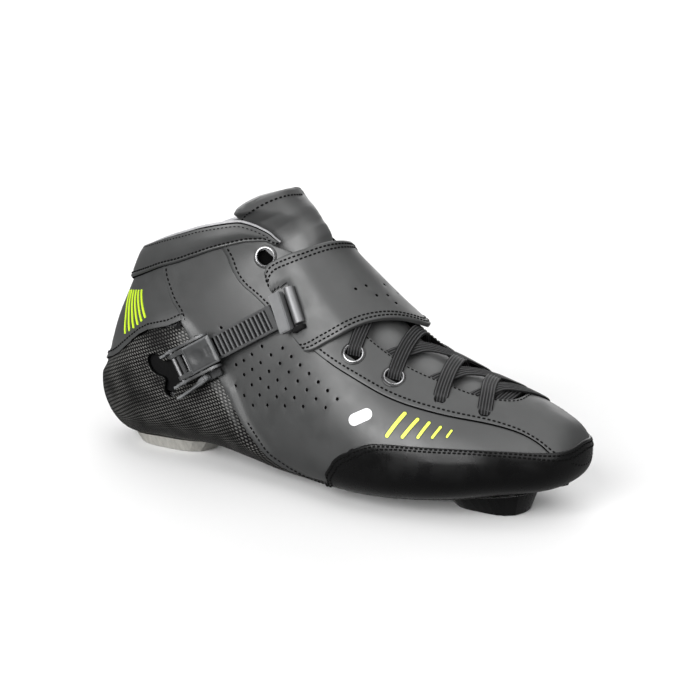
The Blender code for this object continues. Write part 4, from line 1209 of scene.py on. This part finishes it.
# the printed bars' ends, as (place, angle)
VAMP_LOW = ((4.82, 106.8), (4.53, 108.8), (4.25, 111.0), (3.99, 113.2), (3.73, 115.9))
VAMP_HIGH = ((4.6, 123.7), (4.34, 122.8), (4.12, 122.8), (3.89, 122.0), (3.68, 121.2))
FLASH = ((5.52, 107.5), (5.3, 113.8))
HEEL_TOP = ((14.52, 40.5), (14.46, 45.8), (14.39, 50.6), (14.32, 54.8), (14.25, 58.6), (14.18, 62.3))
HEEL_MID = ((13.84, 49.8), (13.76, 54.2), (13.68, 58.3), (13.6, 62.1), (13.52, 65.7), (13.44, 69.1))
HEEL_LOW = ((13.08, 56.0), (13.05, 60.3), (13.02, 64.1), (13.01, 67.4), (13.02, 70.2), (13.04, 72.7))


def make_prints():
    for side, sign in SIDES:
        for number, ends in enumerate(zip(VAMP_LOW, VAMP_HIGH), 1):
            stops = on_side(ends, sign)
            width = 2.2 - 0.22 * number
            bar_print(f"vamp_outline_{side}_{number}", stops, (width, width), 0.06, OUTLINE, grow=0.36)
            bar_print(f"vamp_bar_{side}_{number}", stops, (width, width), 0.14, YELLOW)
        bar_print(f"side_flash_{side}", on_side(FLASH, sign), (6.0, 6.0), 0.12, WHITE)
        for number, run in enumerate(zip(HEEL_LOW, HEEL_MID, HEEL_TOP), 1):
            bar_print(f"heel_bar_{side}_{number}", on_side(run, sign), (1.3, 0.95), 0.15, LIME)


# ---- buckle ----

def bevelled(points, faces, offset, segments=2):
    """Rounds all the edges of a closed block, and marks the rounds to be coloured paler: a painted highlight
    on the chamfers, with some wear.
    """
    mesh = bmesh.new()
    verts = [mesh.verts.new(p) for p in points]
    for face in faces:
        mesh.faces.new([verts[k] for k in face])
    bmesh.ops.recalc_face_normals(mesh, faces=mesh.faces)
    old = {tuple(np.round(f.normal, 3)) for f in mesh.faces}
    sharp = [e for e in mesh.edges if e.calc_face_angle(0) > math.radians(25)]
    bmesh.ops.bevel(mesh, geom=sharp, offset=offset, segments=segments, affect="EDGES", clamp_overlap=True)
    mesh.normal_update()
    worn = np.zeros(len(mesh.verts))
    for f in mesh.faces:
        if tuple(np.round(f.normal, 3)) not in old:
            for v in f.verts:
                worn[v.index] = 1.0
    mesh.verts.index_update()
    out = np.array([v.co[:] for v in mesh.verts]), [[v.index for v in f.verts] for f in mesh.faces], worn
    mesh.free()
    return out


def prism(shape, outline, low, high, axis="z", bevel=0.25, finish=0, twist=0.0, height=0.0, segments=2):
    """Adds a block over an outline in the buckle's frame, drawn out along axis z or y.

    twist turns it about the x axis at that height.
    """
    outline = list(outline)
    size = len(outline)
    points = [(a, b, c) if axis == "z" else (a, c, b) for c in (low, high) for a, b in outline]
    faces = [tuple(range(size))[::-1], tuple(range(size, 2 * size))]
    faces += ring_faces(2, size)
    made, worn = np.array(points), None
    if bevel:
        made, faces, worn = bevelled(points, faces, bevel, segments)
    if twist:
        c, s = math.cos(twist), math.sin(twist)
        y, z = made[:, 1].copy(), made[:, 2] - height
        made[:, 1], made[:, 2] = y * c - z * s, height + y * s + z * c
    return shape.add(in_boot(made), faces, finish, made[:, :2], worn)


def box_outline(x, y, corner=0.0, turns=4):
    """A rectangle's outline, its corners rounded."""
    if not corner:
        return [(x[0], y[0]), (x[1], y[0]), (x[1], y[1]), (x[0], y[1])]
    out = []
    for cx, cy, start in ((x[1] - corner, y[1] - corner, 0), (x[0] + corner, y[1] - corner, 90),
                          (x[0] + corner, y[0] + corner, 180), (x[1] - corner, y[0] + corner, 270)):
        for k in range(turns + 1):
            a = math.radians(start + 90 * k / turns)
            out.append((cx + corner * math.cos(a), cy + corner * math.sin(a)))
    return out


def cross_pin(shape, x, z, radius, half, twist=0.0, finish=0, y=0.0):
    """A pin across the buckle with chamfered ends."""
    ends = np.array([-half, -half + 0.35, half - 0.35, half])
    points = np.stack([np.full(4, x), y + ends, np.full(4, z)], -1)
    points[:, 2] += (points[:, 1] - y) * math.sin(twist)
    points[:, 1] = y + (points[:, 1] - y) * math.cos(twist)
    return tube(shape, in_boot(points), [radius * 0.8, radius, radius, radius * 0.8], 24, finish)


def make_buckle_base():
    shape = Shape()
    prism(shape, box_outline((-17, 10), (-8.7, 8.7), 1.2), SEAT, PLATE, finish=1)
    cheek = [(-22, SEAT + 0.1), (10, SEAT + 0.1), (10, SEAT + 4.6), (8.8, SEAT + 6.2), (6.4, SEAT + 7.2),
             (-6, SEAT + 7.7), (-13, SEAT + 7.6), (-15.6, SEAT + 6.2), (-17.4, SEAT + 3.6), (-22, SEAT + 2.6)]
    for low, high in ((8.0, 9.4), (-9.4, -8.0)):
        prism(shape, cheek, low, high, "y", 0.28)
    prism(shape, box_outline((-4, 8), (-13.6, -8.8), 1.0), SEAT + 0.1, PLATE - 0.1)
    # guide rails for the ladder, a stop bar and a round stud on each cheek
    for y in (-7.95, 7.4):
        prism(shape, box_outline((-20, 5.5), (y, y + 0.55)), PLATE - 0.1, PLATE + 0.35, bevel=0.12)
    prism(shape, box_outline((-9.6, -7.4), (-8.1, 8.1)), SEAT + 5.0, SEAT + 6.6, bevel=0.35)
    for y in (9.4, -9.4):
        lathe(shape, ((0.01, 0.8), (0.9, 0.7), (1.25, 0.3), (1.3, -0.3), (0.01, -0.3)),
              in_boot((6.4, y, SEAT + 5.2)), ACROSS * math.copysign(1, y), 20)
    piece("buckle_body", shape, [PLASTIC, BLACK_PLASTIC], "buckle", ["buckle_base"], 30)
    pins = Shape()
    cross_pin(pins, *LEVER_PIN, 1.1, 9.9)
    piece("lever_axle", pins, [STEEL], "buckle", ["lever_pin"], 30)
    bar = Shape()
    x, z = SPRING_AXIS
    cross_pin(bar, x, z, 0.6, 7.7)
    for y in (-6.2, 6.2):
        coil = [(x + 0.9 * math.cos(a), y + 0.16 * a, z + 0.9 * math.sin(a))
                for a in np.linspace(0, 6 * math.pi, 60)]
        last = y + 0.16 * 6 * math.pi
        coil += [(-4.2, last, z + 0.15), (-2.2, last, z + 0.05)]
        tube(bar, in_boot(coil), 0.28, 6)
    piece("pawl_torsion_spring", bar, [STEEL], "buckle", ["pawl_spring"], 40)
    rod = Shape()
    tube(rod, in_boot([(*RELEASE_PIN, SEAT), (*RELEASE_PIN, SEAT + 4.7), (*RELEASE_PIN, SEAT + 5.2)]),
         [0.9, 0.9, 0.6], 20)
    piece("release_axle", rod, [STEEL], "buckle", ["release_pin"], 30)
    rivet = Shape()
    lathe(rivet, ((0.01, 1.45), (2.2, 1.2), (2.85, 0.7), (2.0, 0.1), (0.01, 0.05)),
          in_boot((-4, 0, SEAT - 0.25)), OUT, 32)
    piece("swivel_rivet", rivet, [BLACK_METAL_AND_SHADE], "boot", ["buckle_rivet"], 35)


PAD_X, PAD_Y = (-4.2, 14.2), (-7.4, 7.4)
OVAL_X = 3.0
GRIP_LINES = (9.6, 10.9, 12.2)


def make_lever():
    """The pull-up lever: a plate with a dished oval, three grip lines and chamfered edges."""
    shape = Shape()
    x, z = LEVER_PIN
    top = SEAT + 7.9
    cells = 26
    xs, ys = np.linspace(*PAD_X, cells), np.linspace(*PAD_Y, cells)
    gx, gy = np.meshgrid(xs, ys, indexing="ij")
    rim = np.minimum.reduce([gx - xs[0], xs[-1] - gx, gy - ys[0], ys[-1] - gy])
    dish = 0.4 * np.exp(-(((gx - OVAL_X) / 3.8) ** 2 + (gy / 3.2) ** 2) ** 2)
    lines = sum(0.25 * np.exp(-((gx - c) / 0.35) ** 2) * (np.abs(gy) < 2.6) for c in GRIP_LINES)
    height = top - 0.9 * np.clip(1 - rim / 1.1, 0, 1) ** 1.5 - dish - lines
    upper = np.stack([gx, gy, height], -1)
    lower = np.stack([gx, gy, np.full_like(gx, SEAT + 6.1)], -1)
    points = np.concatenate([upper.reshape(-1, 3), lower.reshape(-1, 3)])
    n = cells * cells
    index = np.arange(n).reshape(cells, cells)
    faces = []
    for i in range(cells - 1):
        for j in range(cells - 1):
            a, b, c, d = index[i, j], index[i + 1, j], index[i + 1, j + 1], index[i, j + 1]
            faces += [(a, b, c, d), (n + d, n + c, n + b, n + a)]
    loop = [*index[:, 0], *index[-1, 1:], *index[-2::-1, -1], *index[0, -2:0:-1]]
    faces += [(loop[k - 1], loop[k], n + loop[k], n + loop[k - 1]) for k in range(len(loop))]
    # the band along the pad's chamfer is marked to be coloured paler: a painted highlight, with some wear
    worn = np.concatenate([np.clip(1 - np.abs(rim - 0.5) / 0.7, 0, 1).ravel(), np.zeros(n)])
    shape.add(in_boot(points), faces, 0, points[:, :2], worn)
    for low, high in ((4.9, 7.3), (-7.3, -4.9)):
        boss = [(x + 1.9 * math.cos(a), z + 1.9 * math.sin(a)) for a in np.radians(np.arange(75, 286, 15))]
        prism(shape, boss + [(x + 4.6, z - 0.2), (-2.6, SEAT + 6.2), (-2.6, top - 0.3), (x + 4.6, z + 1.9)],
              low, high, "y", 0.25)
    piece("lever_plate", shape, [PLASTIC], "lever", ["buckle_lever"], 35)


def make_pawl():
    """The pawl: its cross pin and a blade that reaches the teeth."""
    shape = Shape()
    x, z = PAWL_PIN
    cross_pin(shape, x, z, 1.0, 9.8)
    blade = ((-1.6, -0.9), (6.6, -1.0), (8.2, -0.9), (8.2, -0.2), (5.0, 0.5), (-1.6, 0.6))
    prism(shape, [(a, z + b) for a, b in blade], -4.6, 4.6, "y", 0.15)
    piece("pawl_tooth_plate", shape, [STEEL], "pawl", ["pawl"], 30)


def make_release():
    """The side release: a curved two-layer arm along the lower cheek."""
    shape = Shape()
    outer = [(1.4, -10.2), (1.6, -12.6), (-2.0, -13.7), (-8.0, -14.3), (-14.0, -14.9), (-19.0, -15.4),
             (-22.2, -15.0), (-22.4, -13.8), (-18.0, -13.6), (-12.0, -12.9), (-7.0, -12.2), (-3.5, -10.4)]
    prism(shape, outer, PLATE + 0.3, SEAT + 2.6, bevel=0.3)
    prism(shape, [(x * 0.97 - 0.2, y * 0.985 - 0.05) for x, y in outer], SEAT + 2.9, SEAT + 4.8, bevel=0.45)
    prism(shape, box_outline((-2.6, 0.8), (-12.8, -10.6), 0.6), SEAT + 2.4, SEAT + 3.1, bevel=0)
    piece("release_arm", shape, [PLASTIC], "release", ["release_lever"], 30)


TOOTH_PITCH = 2.75


def make_ladder():
    """A toothed strap with smooth side rails, and the block and sleeve at its strap end."""
    shape = Shape()
    last = BLOCK_X[0] - 0.3
    prism(shape, box_outline((-8, last), (-6.5, 6.5)), LADDER_LOW, LADDER_HIGH - 1.2, bevel=0.12, finish=2)
    for low, high in ((5.0, 6.5), (-6.5, -5.0)):
        prism(shape, box_outline((-8, last), (low, high)), LADDER_LOW + 0.05, LADDER_HIGH - 0.1, bevel=0.3)
    x = last - 4.6
    while x > -2:
        low = LADDER_HIGH - 1.25
        tooth = [(x, LADDER_HIGH), (x - 0.75, LADDER_HIGH), (x - 1.15, low), (x + 0.1, low)]
        prism(shape, tooth, -5.2, 5.2, "y", 0.08, 1, segments=1)
        x -= TOOTH_PITCH
    prism(shape, box_outline((last - 3.4, last), (-6.5, 6.5)), LADDER_LOW, LADDER_HIGH + 0.1, bevel=0.25)
    piece("ladder_toothed", shape, [LADDER_PLASTIC, LADDER_PLASTIC, BLACK_PLASTIC], "ladder",
          ["ladder_strap"], 30)
    block = Shape()
    prism(block, box_outline(BLOCK_X, (-10.5, 10.5), 0.8), 3.2, 7.8, bevel=0.45, twist=END_TWIST, height=4.85)
    piece("strap_end_block", block, [CAST], "ladder", ["end_block"], 30)
    pin = Shape()
    x, z = STRAP_PIN
    cross_pin(pin, x + 0.3, z + 0.8, 2.7, 9.9, END_TWIST, y=0.6)
    piece("strap_sleeve", pin, [STEEL], "ladder", ["strap_pin"], 30)
    cap = Shape()
    outline = box_outline((x - 5.2, x + 2.6), (-12.6, -10.2), 0.7)
    prism(cap, outline, 1.4, 5.6, bevel=0.4, twist=END_TWIST, height=z)
    piece("strap_sleeve_cap", cap, [BLACK_PLASTIC], "ladder", sharp=30)


# ---- the nodes whose CAD shape is kept ----

CAD_LOOKS = {"heel_mount_block": BLOCK, "front_mount_block": RAND_SKIN, "heel_insert": INSERT,
             "front_insert": INSERT}


def finish_cad_nodes():
    for name, mat in CAD_LOOKS.items():
        node = frame["nodes"][name]
        node.data.materials.clear()
        node.data.materials.append(mat)


# ---- stage ----

# direction, strength and apparent size in degrees
SUNS = {"key": ((-0.08, -0.92, 0.38), 4.2, 52), "top": ((0.15, 0.1, 1.0), 1.2, 70),
        "toe": ((0.85, -0.35, 0.6), 1.1, 50), "rim": ((-0.6, 0.9, 0.45), 1.6, 60)}
SKY = 0.13


def make_stage():
    """A white floor and dome that light nothing, four soft suns and a low sky."""
    size, centre = 7.0, Vector((0.1, 0, CAD_BOX[0].z - 0.0004))
    turn = np.radians(np.arange(0, 360, 7.5))
    for name, rings in (("floor", ((0.0, 0.0), (1.0, 0.0), (3.0, 0.0), (size, 0.0))),
                        ("backdrop", ((size, -0.02), (size, 3.0), (size * 0.75, 6.0), (0.01, 7.5)))):
        points = [centre + Vector((r * math.cos(a), r * math.sin(a), h)) for r, h in rings for a in turn]
        mesh = bpy.data.meshes.new(name)
        mesh.from_pydata(points, [], ring_faces(len(rings), len(turn)))
        obj = add_object(name, mesh)
        glow = 0.02 if name == "floor" else 0.97
        p = Paint("pale_" + name, (0.8, 0.8, 0.8), 0.8, Specular_IOR_Level=0.1, Emission_Strength=glow,
                  Emission_Color=(1, 1, 1, 1))
        p.set("Base Color", p.blend(p.noise(3), (0.79, 0.79, 0.79), (0.81, 0.81, 0.81)))
        mesh.materials.append(p.mat)
        obj.visible_glossy = obj.visible_diffuse = obj.visible_shadow = False
    world = bpy.data.worlds.new("studio")
    world.use_nodes = True
    sky = world.node_tree.nodes["Background"].inputs
    sky[0].default_value, sky[1].default_value = (1, 1, 1, 1), SKY
    bpy.context.scene.world = world
    for name, (where, power, angle) in SUNS.items():
        lamp = bpy.data.lights.new(name, "SUN")
        lamp.energy = power
        lamp.angle = math.radians(angle)
        add_object(name, lamp).rotation_euler = Vector(where).to_track_quat("Z", "Y").to_euler()


def make_camera():
    azimuth, elevation, distance = math.radians(32), math.radians(15), 0.972
    target = Vector((0.109, 0, 0.0676))
    back = Vector((math.sin(azimuth) * math.cos(elevation), -math.cos(azimuth) * math.cos(elevation),
                   math.sin(elevation)))
    lens = bpy.data.cameras.new("camera")
    lens.lens, lens.sensor_width = 97.5, 36
    lens.clip_start, lens.clip_end = 0.05, 50
    camera = add_object("camera", lens)
    camera.location = target + back * distance
    camera.rotation_mode = "QUATERNION"
    camera.rotation_quaternion = back.to_track_quat("Z", "Y")
    bpy.context.scene.camera = camera


bpy.context.scene.view_settings.view_transform = "Standard"
SEAMS = Shape()
make_shell()
for make in (make_heel_panel, make_quarters, make_eyestay, make_collar, make_rand, make_tongue):
    make(SEAMS)
for make in (make_lining, make_eyelets, make_laces, make_strap, make_prints, make_buckle_base,
             make_lever, make_pawl, make_release, make_ladder):
    make()
piece("seam_threads", SEAMS, [THREAD], "boot", sharp=80)
finish_cad_nodes()
make_stage()
make_camera()
